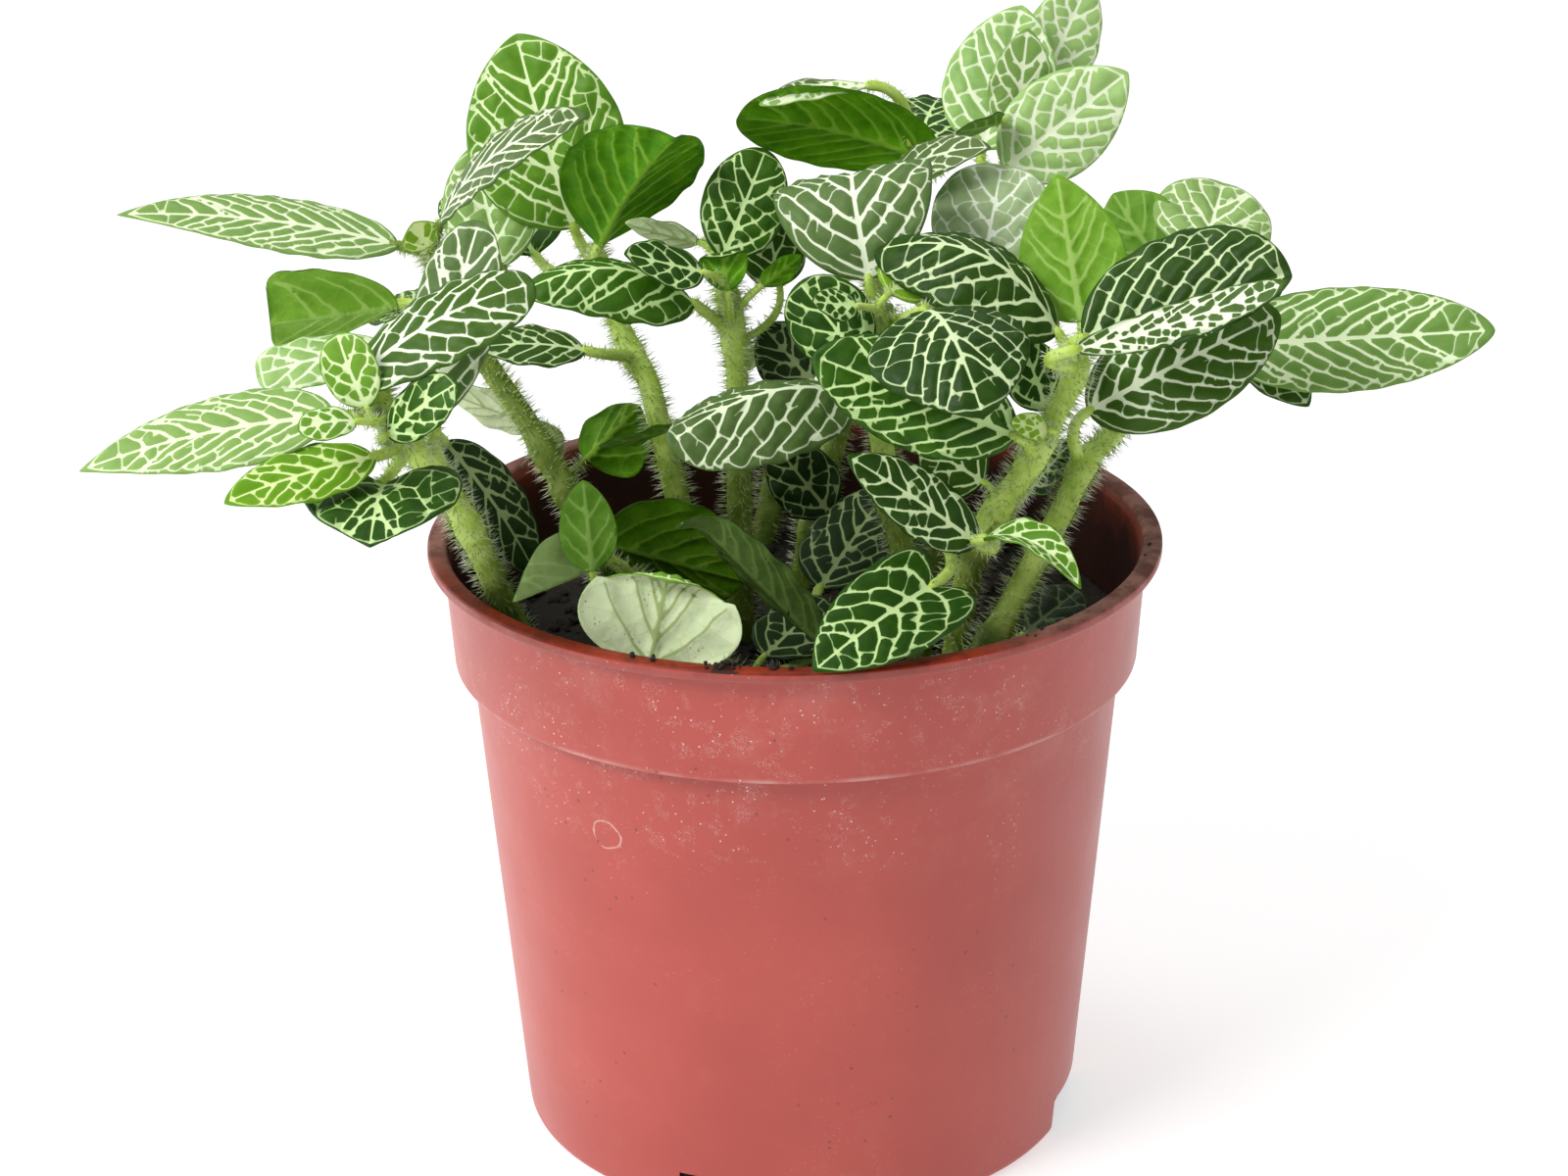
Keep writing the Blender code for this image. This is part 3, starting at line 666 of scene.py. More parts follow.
def potting_mix():
    """Dark crumbs with paler fibres."""
    f = Finish("potting mix")
    lumps = f.cloud(0.35, 8.0, 0.7)
    fibre = f.cloud(1.4, 6.0, 0.7, warp=2.0)
    colour = f.mix(f.between(lumps, 0.35, 0.7), (0.007, 0.005, 0.003), (0.034, 0.021, 0.012))
    colour = f.mix(f.between(fibre, 0.6, 0.72) * 0.6, colour, (0.085, 0.048, 0.026))
    return f.make(
        Base_Color=colour,
        Roughness=f.between(lumps, 0.2, 0.8) * 0.25 + 0.7,
        Normal=f.relief(lumps + fibre * 0.5, 0.9, 0.0012),
    )


def perlite_white():
    """Chalky white stained by the soil."""
    f = Finish("perlite")
    colour = f.mix(f.between(f.cloud(0.8, 4.0), 0.3, 0.7), (0.42, 0.38, 0.32), (0.75, 0.73, 0.68))
    return f.make(
        Base_Color=colour, Roughness=0.85, Normal=f.relief(f.cloud(1.5, 4.0), 0.8, 0.0004)
    )


def studio_floor():
    """Light grey, with a glow that lifts it to white."""
    f = Finish("studio floor")
    colour = f.mix(f.cloud(0.002, 2.0), (0.55, 0.55, 0.553), (0.57, 0.57, 0.573))
    return f.make(
        Base_Color=colour, Roughness=0.6, Specular_IOR_Level=0.2,
        Emission_Color=(1.0, 1.0, 1.0), Emission_Strength=0.58,
    )


def add_mesh(name, points, faces, finishes, face_finish=None, values=None):
    """A smooth mesh piece on the object's one body; points are in millimetres.

    values holds numbers for each point, which its materials read by name.
    """
    mesh = bpy.data.meshes.new(name)
    mesh.from_pydata((np.asarray(points, float) * MM).tolist(), [], faces)
    for finish in finishes:
        mesh.materials.append(finish)
    if face_finish is not None:
        mesh.polygons.foreach_set("material_index", face_finish)
    for label, numbers in (values or {}).items():
        made = mesh.attributes.new(label, "FLOAT", "POINT")
        made.data.foreach_set("value", np.asarray(numbers, np.float32))
    mesh.shade_smooth()
    mesh.update()
    piece = bpy.data.objects.new(name, mesh)
    bpy.context.scene.collection.objects.link(piece)
    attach(piece, "root")
    return piece


# ---- Stems -----------------------------------------------------------------------------------


def smooth_course(points, count):
    """count points evenly spaced along a Catmull-Rom curve through the given ones."""
    steps = 20
    known = [Vector(p) for p in points]
    known = [2 * known[0] - known[1]] + known + [2 * known[-1] - known[-2]]
    fine = []
    for before, start, end, after in zip(known, known[1:], known[2:], known[3:]):
        for step in range(steps):
            t = step / steps
            fine.append(0.5 * (
                2 * start + (end - before) * t
                + (2 * before - 5 * start + 4 * end - after) * t ** 2
                + (3 * start - before - 3 * end + after) * t ** 3
            ))
    fine.append(known[-2])
    reach = [0.0]
    for a, b in zip(fine, fine[1:]):
        reach.append(reach[-1] + (b - a).length)
    course = []
    k = 0
    for i in range(count):
        wanted = reach[-1] * i / (count - 1)
        while k < len(fine) - 2 and reach[k + 1] < wanted:
            k += 1
        share = (wanted - reach[k]) / (reach[k + 1] - reach[k])
        course.append(fine[k].lerp(fine[k + 1], share))
    return course


def tangent(course, i):
    """The course's direction at its i-th point."""
    return (course[min(i + 1, len(course) - 1)] - course[max(i - 1, 0)]).normalized()


def bent(start, through, end, t):
    """The point at t of the curve that leaves start towards through and arrives at end."""
    return (1 - t) ** 2 * start + 2 * t * (1 - t) * through + t * t * end


def tube(course, radii, sides, squareness=0.0, seed=0):
    """Rings round a course, with the frame carried along it. Returns points and quads."""
    points = []
    faces = []
    across = tangent(course, 0).orthogonal().normalized()
    for i, centre in enumerate(course):
        along = tangent(course, i)
        across = (across - along * across.dot(along)).normalized()
        sideways = along.cross(across)
        for k in range(sides):
            angle = 2 * math.pi * k / sides
            lumpy = noise.noise(Vector((math.cos(angle), math.sin(angle), i * 0.18 + seed)))
            radius = radii[i] * (1 + squareness * math.cos(4 * angle) + 0.06 * lumpy)
            points.append(centre + radius * (math.cos(angle) * across + math.sin(angle) * sideways))
    for i in range(len(course) - 1):
        for k in range(sides):
            n = (k + 1) % sides
            low, high = i * sides, (i + 1) * sides
            faces.append((low + k, low + n, high + n, high + k))
    faces.append(tuple(range(sides))[::-1])
    faces.append(tuple(range((len(course) - 1) * sides, len(course) * sides)))
    return points, faces


def petiole_course(shape, course):
    """The leaf stalk's curve, from inside the stem to under the blade's foot, and its seat."""
    along, up, across = blade_axes(shape)
    length = (shape["tip"] - shape["base"]).length
    start = (along * length + up * (4 * shape["arch"])).normalized()
    wanted = shape["base"] - Vector((0, 0, JOIN_BELOW)) - 2 * start
    nearest = min(range(1, len(course) - 1), key=lambda i: (course[i] - wanted).length)
    seat = course[nearest]
    bend = shape["base"] - start * (PETIOLE_BEND * (shape["base"] - seat).length)
    curve = []
    for i in range(PETIOLE_RINGS):
        curve.append(bent(seat, bend, shape["base"], i / (PETIOLE_RINGS - 1)))
    under = 0.035 * length
    curve.append(shape["base"] + start * under - up * 0.15)
    return curve, nearest / (len(course) - 1)


def petiole_radius(shape):
    length = (shape["tip"] - shape["base"]).length
    return PETIOLE_RADIUS if length > YOUNG_LENGTH else YOUNG_PETIOLE_RADIUS


def add_stem(name, points, seats, finish):
    """A stem that swells where its leaves sit. Returns its course and the radii along it."""
    length = sum((Vector(b) - Vector(a)).length for a, b in zip(points, points[1:]))
    course = smooth_course(points, max(12, round(length / STEM_STEP)))
    course[0] = course[0] - tangent(course, 0) * ROOT_DEPTH
    radii = []
    for i in range(len(course)):
        share = i / (len(course) - 1)
        near = max((math.exp(-((share - s) * length / NODE_REACH) ** 2) for s in seats), default=0)
        end = min(1.0, 0.45 + (1 - share) * length / 3.0)
        plain = STEM_RADIUS + (STEM_TIP_RADIUS - STEM_RADIUS) * share
        radii.append(plain * (0.95 + NODE_SWELLING * near) * end)
    verts, faces = tube(course, radii, STEM_SIDES, squareness=0.03, seed=len(name))
    ripe = np.repeat(np.linspace(0, 1, len(course)), STEM_SIDES) * FRESHNESS.get(name, 1.0)
    piece = add_mesh(f"stem_{name}", verts, faces, [finish], values={"ripe": ripe})
    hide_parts(f"{name}_stem")
    return course, radii


def hairs_along(course, radii, ripe, count, length, rng):
    """Fine tapering hairs standing out of a round course. Returns points, faces and ripeness."""
    points = []
    faces = []
    ripeness = []
    for _ in range(count):
        t = rng.random() * (len(course) - 1.001)
        i = int(t)
        share = ripe[0] + (ripe[1] - ripe[0]) * t / (len(course) - 1)
        if rng.random() > 0.35 + 0.9 * share:
            continue
        centre = course[i].lerp(course[i + 1], t - i)
        along = tangent(course, i)
        across = along.orthogonal().normalized()
        angle = rng.random() * 2 * math.pi
        out = math.cos(angle) * across + math.sin(angle) * along.cross(across)
        side = along.cross(out)
        root = centre + out * (radii[i] * 0.93)
        reach = length * rng.uniform(0.5, 1.15)
        forward = along * rng.uniform(-HAIR_LEAN, HAIR_LEAN)
        lean = forward + side * rng.uniform(-HAIR_LEAN, HAIR_LEAN)
        tip = root + (out + lean).normalized() * reach
        thick = rng.uniform(0.06, 0.11)
        n = len(points)
        for turn in (0.0, 2.1, 4.2):
            points.append(root + thick * (math.cos(turn) * along + math.sin(turn) * side))
        points.append(tip)
        faces.extend([(n, n + 1, n + 3), (n + 1, n + 2, n + 3), (n + 2, n, n + 3)])
        ripeness.extend([share] * 4)
    return points, faces, ripeness


# ---- Blades ----------------------------------------------------------------------------------


def blade_axes(shape):
    """Unit vectors of a leaf: along its chord, out of its upper side, and across it."""
    along = (shape["tip"] - shape["base"]).normalized()
    up = (shape["faces"] - along * shape["faces"].dot(along)).normalized()
    return along, up, along.cross(up)


def half_width(u, point):
    """Share of the full half width at u, from 0 at the blade's base to 1 at its tip."""
    widest = BLADE_RISE / (BLADE_RISE + point)
    peak = widest ** BLADE_RISE * (1 - widest) ** point
    return u ** BLADE_RISE * (1 - u) ** point / peak


def margin(x, length, width, point):
    """The blade's half width in millimetres, x from its foot."""
    share = min(max(x / length, SMALLEST_SHARE), 1 - SMALLEST_SHARE)
    return width / 2 * half_width(share, point)


def arc(start, through, end, steps):
    """Points along the bent curve."""
    return bent(start, through, end, np.linspace(0, 1, steps + 1)[:, None])


def chord(polygon, centre, heading):
    """Cuts a polygon in two along the line through centre, or returns None."""
    rel = polygon - centre
    side = rel[:, 0] * heading[1] - rel[:, 1] * heading[0]
    following = np.roll(side, -1)
    crossing = np.nonzero((side > 0) != (following > 0))[0]
    if len(crossing) < 2:
        return None
    share = side[crossing] / (side[crossing] - following[crossing])
    after = np.roll(polygon, -1, axis=0)
    hits = polygon[crossing] + (after[crossing] - polygon[crossing]) * share[:, None]
    reach = (hits - centre) @ heading
    ahead = np.where(reach > 0, reach, FAR).argmin()
    behind = np.where(reach <= 0, reach, -FAR).argmax()
    if reach[ahead] <= 0 or reach[behind] > 0:
        return None
    a, b = crossing[ahead], crossing[behind]
    p, q = hits[ahead], hits[behind]
    count = len(polygon)
    first = [polygon[(a + 1 + k) % count] for k in range((b - a) % count)]
    second = [polygon[(b + 1 + k) % count] for k in range((a - b) % count)]
    return np.array([p, *first, q]), np.array([q, *second, p]), (p, q)


def area_of(polygon):
    x, y = polygon[:, 0], polygon[:, 1]
    return abs(np.dot(x, np.roll(y, -1)) - np.dot(y, np.roll(x, -1))) / 2


def split_cells(polygon, target, depth, widths, veins, cells, rng):
    """Divides a field of the blade into small cells; each cut becomes a vein."""
    area = area_of(polygon)
    if area < target * rng.uniform(0.6, 1.7) or depth > DEEPEST_CUT or len(polygon) < 4:
        cells.append(polygon)
        return
    centre = polygon.mean(axis=0)
    spread = np.cov((polygon - centre).T)
    values, vectors = np.linalg.eigh(spread)
    longest = vectors[:, 1]
    centre = centre + longest * math.sqrt(values[1]) * rng.uniform(-0.25, 0.25)
    tilt = rng.uniform(-0.24, 0.24)
    turned_by = np.array([[math.cos(tilt), -math.sin(tilt)], [math.sin(tilt), math.cos(tilt)]])
    heading = turned_by @ np.array([-longest[1], longest[0]])
    cut = chord(polygon, centre, heading)
    if cut is None:
        cells.append(polygon)
        return
    first, second, (p, q) = cut
    if min(area_of(first), area_of(second)) < 0.15 * area:
        cells.append(polygon)
        return
    width = widths[min(depth, len(widths) - 1)] * rng.uniform(0.5, 1.4)
    veins.append(((p, q), width, width))
    split_cells(first, target, depth + 1, widths, veins, cells, rng)
    split_cells(second, target, depth + 1, widths, veins, cells, rng)


def vein_plan(length, width, point, rng):
    """The ribs and veins of a flat blade, each a line and its half width at both ends, and cells.

    The midrib runs along x from the blade's foot. Side veins arch forward and join in loops
    inside the margin, and the fields between them are divided into cells.
    """
    size = min(1.0, 0.5 + 0.5 * length / 32, 0.05 + width / 15)
    blade = (length, width, point)
    ribs = []
    veins = []
    cells = []
    mid_end = 0.96 * length
    ribs.append((np.array([[0.0, 0.0], [mid_end, 0.0]]), 0.46 * size, 0.12 * size))
    fine = [0.07 * size, 0.05 * size, 0.04 * size, 0.035 * size]
    count = max(3, round(length / 5.0))
    target = 15.0 * size ** 1.5
    lean = 0.9 + 0.4 * max(0.0, length / width - 1.2)
    for side in (1, -1):
        shift = rng.uniform(0.0, 0.5)
        ends = []
        lines = []
        for i in range(count):
            share = (i + 0.15 + shift) / (count + 0.25)
            x0 = max(length * (0.015 + 0.80 * share ** 1.08) + rng.uniform(-0.5, 0.5), 0.4)
            ahead = margin(min(x0 + 0.2 * length, 0.9 * length), *blade)
            x1 = min(x0 + lean * ahead * rng.uniform(0.9, 1.1), length * (0.88 + 0.08 * i / count))
            y1 = 0.84 * margin(x1, *blade)
            through = np.array([x0 + 0.42 * (x1 - x0), side * y1 * rng.uniform(0.58, 0.72)])
            end = np.array([x1, side * y1])
            lines.append(arc(np.array([x0, 0.0]), through, end, 9))
            ends.append(end)
        for line in lines:
            ribs.append((line, 0.25 * size, 0.10 * size))
        foot, tip = np.array([0.0, 0.0]), np.array([mid_end, 0.0])
        loops = []
        for a, b in zip([foot, *ends], [*ends, tip]):
            x = (a[0] + b[0]) / 2
            peak = 0.94 * margin(x, *blade) * rng.uniform(0.97, 1.01)
            through = np.array([x, side * (2 * peak - 0.5 * (abs(a[1]) + abs(b[1])))])
            loops.append(arc(a, through, b, 8))
        for loop in loops:
            veins.append((loop, 0.08 * size, 0.08 * size))
            for k in (2, 4, 6):
                if rng.random() < 0.3:
                    out = np.array([rng.uniform(0, 0.6), side * 0.8])
                    veins.append(((loop[k], loop[k] + out * size), 0.05 * size, 0.02))
        for i in range(count + 1):
            inner = lines[i - 1] if i else foot[None, :]
            outer = lines[i] if i < count else tip[None, :]
            field = np.vstack([outer, loops[i][::-1][1:-1], inner[::-1]])
            split_cells(field, target, 0, fine, veins, cells, rng)
    for cell in cells:
        if area_of(cell) > 7.0 * size and rng.random() < 0.4:
            k = rng.randrange(len(cell))
            start = (cell[k] + cell[(k + 1) % len(cell)]) / 2
            toward = cell.mean(axis=0) - start
            end = start + toward * rng.uniform(0.5, 0.9)
            veins.append(((start, end), 0.05 * size, 0.02 * size))
    return ribs, veins, cells


def distance_to(points, segments):
    """Distance of each point past the edge of the nearest segment, in millimetres."""
    best = np.full(len(points), FAR)
    a = segments[:, 0:2]
    d = segments[:, 2:4] - a
    w0, w1 = segments[:, 4], segments[:, 5]
    long = np.maximum((d * d).sum(axis=1), 1e-9)
    for start in range(0, len(points), POINTS_AT_ONCE):
        part = slice(start, start + POINTS_AT_ONCE)
        rel = points[part, None, :] - a[None, :, :]
        t = np.clip((rel * d).sum(axis=2) / long, 0, 1)
        gap = rel - t[:, :, None] * d
        best[part] = (np.sqrt((gap * gap).sum(axis=2)) - w0 - t * (w1 - w0)).min(axis=1)
    return best


def short_pieces(lines):
    """Lines cut into short straight pieces: x, y, x, y and the half width at each end."""
    pieces = []
    for line, w0, w1 in lines:
        legs = len(line) - 1
        for k in range(legs):
            leg = line[k + 1] - line[k]
            count = max(1, round(float(np.linalg.norm(leg)) / VEIN_STEP))
            for j in range(count):
                t0, t1 = j / count, (j + 1) / count
                widths = [w0 + (w1 - w0) * ((k + t) / legs) for t in (t0, t1)]
                pieces.append([*(line[k] + leg * t0), *(line[k] + leg * t1), *widths])
    return np.array(pieces)


def blade_sheet(shape, rng):
    """The flat blade as triangles whose edges follow the veins, with its distances."""
    length = (shape["tip"] - shape["base"]).length
    width, point = shape["width"], shape["point"]
    ribs, veins, cells = vein_plan(length, width, point, rng)
    rib_lines = short_pieces(ribs)
    all_lines = np.vstack([rib_lines, short_pieces(veins)])
    steps = max(24, round(length * 1.6))
    x = length * (0.5 - 0.5 * np.cos(np.pi * np.arange(1, steps) / steps))
    y = np.array([margin(v, length, width, point) for v in x])
    outline = np.vstack([[[0.0, 0.0]], np.stack([x, y], 1), [[length, 0.0]],
                         np.stack([x, -y], 1)[::-1]])
    inside = [tuple(cell.mean(axis=0)) for cell in cells]
    for row, yy in enumerate(np.arange(-width / 2, width / 2, POINT_SPACING * 0.87)):
        for xx in np.arange(POINT_SPACING * (0.5 * (row % 2)), length, POINT_SPACING):
            px, py = xx + rng.uniform(-0.15, 0.15), yy + rng.uniform(-0.15, 0.15)
            if abs(py) < margin(px, length, width, point) - MARGIN_CLEARANCE:
                inside.append((px, py))
    inside = np.array(inside)
    thin = all_lines.copy()
    thin[:, 4:] = 0.0
    inside = inside[distance_to(inside, thin) > VEIN_CLEARANCE]
    ends = np.vstack([all_lines[:, 0:2], all_lines[:, 2:4]])
    limit = np.array([margin(v, length, width, point) for v in ends[:, 0]])
    shrink = np.minimum(1.0, np.maximum(limit - 0.02, 0) / np.maximum(np.abs(ends[:, 1]), 1e-6))
    ends[:, 1] *= shrink
    n_out, n_line = len(outline), len(all_lines)
    coords = np.vstack([outline, ends, inside])
    edges = [(i, (i + 1) % n_out) for i in range(n_out)]
    edges += [(n_out + i, n_out + n_line + i) for i in range(n_line)]
    corners = [Vector(c) for c in coords.tolist()]
    result = geometry.delaunay_2d_cdt(corners, edges, [], 1, 1e-3, False)
    flat = np.array([tuple(v) for v in result[0]])
    faces = np.array(result[2])
    used = np.unique(faces)
    renumber = np.zeros(len(flat), int)
    renumber[used] = np.arange(len(used))
    flat, faces = flat[used], renumber[faces]
    border = np.hstack([outline, np.roll(outline, -1, axis=0), np.zeros((n_out, 2))])
    a, b, c = flat[faces[:, 0]], flat[faces[:, 1]], flat[faces[:, 2]]
    signed = (b[:, 0] - a[:, 0]) * (c[:, 1] - a[:, 1]) - (b[:, 1] - a[:, 1]) * (c[:, 0] - a[:, 0])
    faces[signed < 0] = faces[signed < 0][:, ::-1]
    distances = {
        "vein": distance_to(flat, all_lines),
        "rib": distance_to(flat, rib_lines),
        "rim": distance_to(flat, border),
    }
    return flat, faces, distances, length


def ease(value):
    """0 below 0, 1 above 1, eased between."""
    value = np.clip(value, 0, 1)
    return value * value * (3 - 2 * value)


def roll_tip(x, lift, start, reach, angle):
    """Winds what lies past start round an arc, towards the underside."""
    turn = angle * np.maximum(x - start, 0) / reach
    radius = reach / angle
    rolled_x = np.minimum(x, start) + radius * np.sin(turn) + lift * np.sin(turn)
    return rolled_x, lift * np.cos(turn) - radius * (1 - np.cos(turn))


def bend_blade(shape, flat, length):
    """The blade's middle surface in space, in millimetres."""
    along, up, across = (np.array(v) for v in blade_axes(shape))
    half = shape["width"] / 2
    u = flat[:, 0] / length
    y = flat[:, 1]
    front = math.copysign(1.0, across @ np.array((0.0, -1.0, 0.3)))
    fold = np.radians(np.where(y * front > 0, shape["near"], shape["fold"]))
    spread = np.sqrt(y * y + CREASE ** 2) - CREASE
    lift = spread * np.sin(fold) - BLADE_ROUNDING * half * (y / half) ** 2
    lift = lift + shape["arch"] * 4 * u * (1 - u)
    phase = shape["base"].x * 1.7 + shape["tip"].y
    ripple = np.sin(u * length / 5.8 * 2 * math.pi + phase + np.sign(y) * 0.8)
    lift = lift + shape["wave"] * 0.55 * ripple * (np.abs(y) / half) ** 3
    sideways = y * np.cos(fold)
    lobe = (np.abs(y) / half) ** 1.2 * np.clip(1 - u, 0, 1) ** 2
    x = u * length - shape["heart"] * lobe
    if shape["curl"]:
        start = shape["flat_to"] * length
        x, lift = roll_tip(x, lift, start, length - start, math.radians(shape["curl"]))
    return (np.array(shape["base"]) + x[:, None] * along + lift[:, None] * up
            + sideways[:, None] * across)


def surface_normals(points, faces):
    """A unit normal at each point, from the triangles round it."""
    a, b, c = points[faces[:, 0]], points[faces[:, 1]], points[faces[:, 2]]
    each = np.cross(b - a, c - a)
    summed = np.zeros_like(points)
    for k in range(3):
        np.add.at(summed, faces[:, k], each)
    return summed / np.maximum(np.linalg.norm(summed, axis=1, keepdims=True), 1e-12)


def noise_layer(name):
    """A place in the noise of its own for each name."""
    return sum(ord(letter) * (i + 1) for i, letter in enumerate(name)) % 997 * 1.37


def add_blade(name, shape, finishes, rng):
    """A closed blade: puckered between its veins above, ribbed below."""
    flat, faces, distances, length = blade_sheet(shape, rng)
    size = min(1.0, shape["width"] / 18)
    layer = noise_layer(name)
    spots = [Vector((x * 0.45, y * 0.45, layer)) for x, y in flat]
    wander = np.array([noise.noise_vector(spot)[:2] for spot in spots])
    calm = ease(np.abs(flat[:, 1]) / 2.5) * ease(distances["rim"])
    moved = flat + wander * calm[:, None] * WANDER
    middle = bend_blade(shape, moved, length)
    normals = surface_normals(middle, faces)
    if normals.mean(axis=0) @ np.array(blade_axes(shape)[1]) < 0:
        faces = faces[:, ::-1]
        normals = -normals
    body = ease(distances["rim"] / 0.8)
    pucker = PUCKER * size * ease(distances["vein"] / 0.75) * (0.3 + 0.7 * body)
    quilt = QUILT * size * ease(distances["rib"] / 2.6) * body
    keel = np.exp(-(np.maximum(distances["rib"], 0) / 0.35) ** 2)
    mid = np.exp(-(flat[:, 1] / 0.7) ** 2) * (1 - flat[:, 0] / length)
    upper = middle + normals * (pucker + quilt)[:, None]
    thick = BLADE_THICKNESS * (0.5 + 0.5 * body) + RIB_KEEL * keel * size + MIDRIB_KEEL * mid * size
    lower = middle + normals * (quilt + pucker * 0.6 - thick)[:, None]
    count = len(middle)
    points = np.vstack([upper, lower])
    edge_pairs = np.vstack([faces[:, [0, 1]], faces[:, [1, 2]], faces[:, [2, 0]]])
    known = {tuple(e) for e in edge_pairs.tolist()}
    rim = [e for e in edge_pairs.tolist() if (e[1], e[0]) not in known]
    all_faces = faces.tolist() + (faces[:, ::-1] + count).tolist()
    all_faces += [[a, b, b + count, a + count][::-1] for a, b in rim]
    finish = [0] * len(faces) + [1] * len(faces) + [0] * len(rim)
    values = {key: np.concatenate([d, d]) for key, d in distances.items()}
    values["shade"] = np.full(2 * count, rng.random())
    piece = add_mesh(name, points, all_faces, finishes, finish, values)
    return piece


def add_foliage():
    """Every stem with its stalks, blades, hairs and growing tip."""
    skin = stem_skin()
    hair = hair_white()
    uppers = {tone: leaf_upper(tone) for tone in TONES}
    unders = {tone: leaf_underside(tone) for tone in UNDERSIDES}
    for name, points in STEMS.items():
        rng = random.Random(name)
        course = smooth_course(points, COURSE_SAMPLES)
        stalks = []
        seats = []
        solid = LEAVES[name]
        small = SMALL_LEAVES.get(name, [])
        for number, shape in enumerate(solid + small, 1):
            finishes = [uppers[shape["tone"]], unders[shape["under"]]]
            blade = add_blade(f"blade_{name}_{number}", shape, finishes, rng)
            if number <= len(solid):
                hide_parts(f"{name}_leaf_{number}")
            curve, share = petiole_course(shape, course)
            seats.append(share)
            radius = petiole_radius(shape)
            radii = [radius * (1.25 - 0.35 * i / PETIOLE_RINGS) for i in range(PETIOLE_RINGS)]
            radii.append(radius * 0.5)
            verts, faces = tube(curve, radii, PETIOLE_SIDES, seed=number)
            ripe = np.full(len(verts), (0.35 + 0.65 * share) * FRESHNESS.get(name, 1.0))
            stalk = add_mesh(f"stalk_{name}_{number}", verts, faces, [skin], values={"ripe": ripe})
            stalks.append((curve, radii, share))
        stem_course, stem_radii = add_stem(name, points, seats, skin)
        add_hairs(name, stem_course, stem_radii, stalks, hair, rng)


def add_hairs(name, course, radii, stalks, finish, rng):
    """One piece with all the hairs of a stem and of its leaves' stalks."""
    count = len(course) * HAIRS_PER_RING
    points, faces, ripe = hairs_along(course, radii, (0, 1), count, STEM_HAIR, rng)
    for curve, stalk_radii, share in stalks:
        near = 0.4 + 0.6 * share
        ripeness = (near, near)
        more = hairs_along(curve, stalk_radii, ripeness, HAIRS_PER_STALK, STALK_HAIR, rng)
        offset = len(points)
        points += more[0]
        faces += [tuple(i + offset for i in face) for face in more[1]]
        ripe += more[2]
    tips = [0.0, 0.0, 0.0, 1.0] * (len(points) // 4)
    piece = add_mesh(f"hairs_{name}", points, faces, [finish], values={"ripe": ripe, "tip": tips})


# ---- Pot and soil ----------------------------------------------------------------------------


def on_circle(radius, angle):
    """x and y of a point round the pot's axis, from the front anticlockwise."""
    return radius * math.sin(angle), -radius * math.cos(angle)


def rounded(profile, radius_steps):
    """Replaces each inner corner of an outline by a short curve."""
    points = [profile[0]]
    for before, corner, after in zip(profile, profile[1:], profile[2:]):
        radius, steps = radius_steps.get(corner, (0.25, 3))
        corner = Vector(corner)
        back, on = Vector(before) - corner, Vector(after) - corner
        reach = min(radius, back.length * 0.45, on.length * 0.45)
        start, end = corner + back.normalized() * reach, corner + on.normalized() * reach
        for k in range(steps + 1):
            points.append(tuple(bent(start, corner, end, k / steps)))
    points.append(profile[-1])
    return points


def turned(profile, sides):
    """Points and faces of a solid of revolution whose outline starts and ends on the axis."""
    points = []
    rims = []
    faces = []
    for radius, z in profile:
        if radius == 0:
            rims.append([len(points)])
            points.append((0, 0, z))
            continue
        rims.append(list(range(len(points), len(points) + sides)))
        for k in range(sides):
            points.append((*on_circle(radius, 2 * math.pi * k / sides), z))
    for low, high in zip(rims, rims[1:]):
        for k in range(sides):
            n = (k + 1) % sides
            corners = [low[k % len(low)], low[n % len(low)], high[n % len(high)],
                       high[k % len(high)]]
            faces.append(tuple(dict.fromkeys(corners)))
    return points, faces


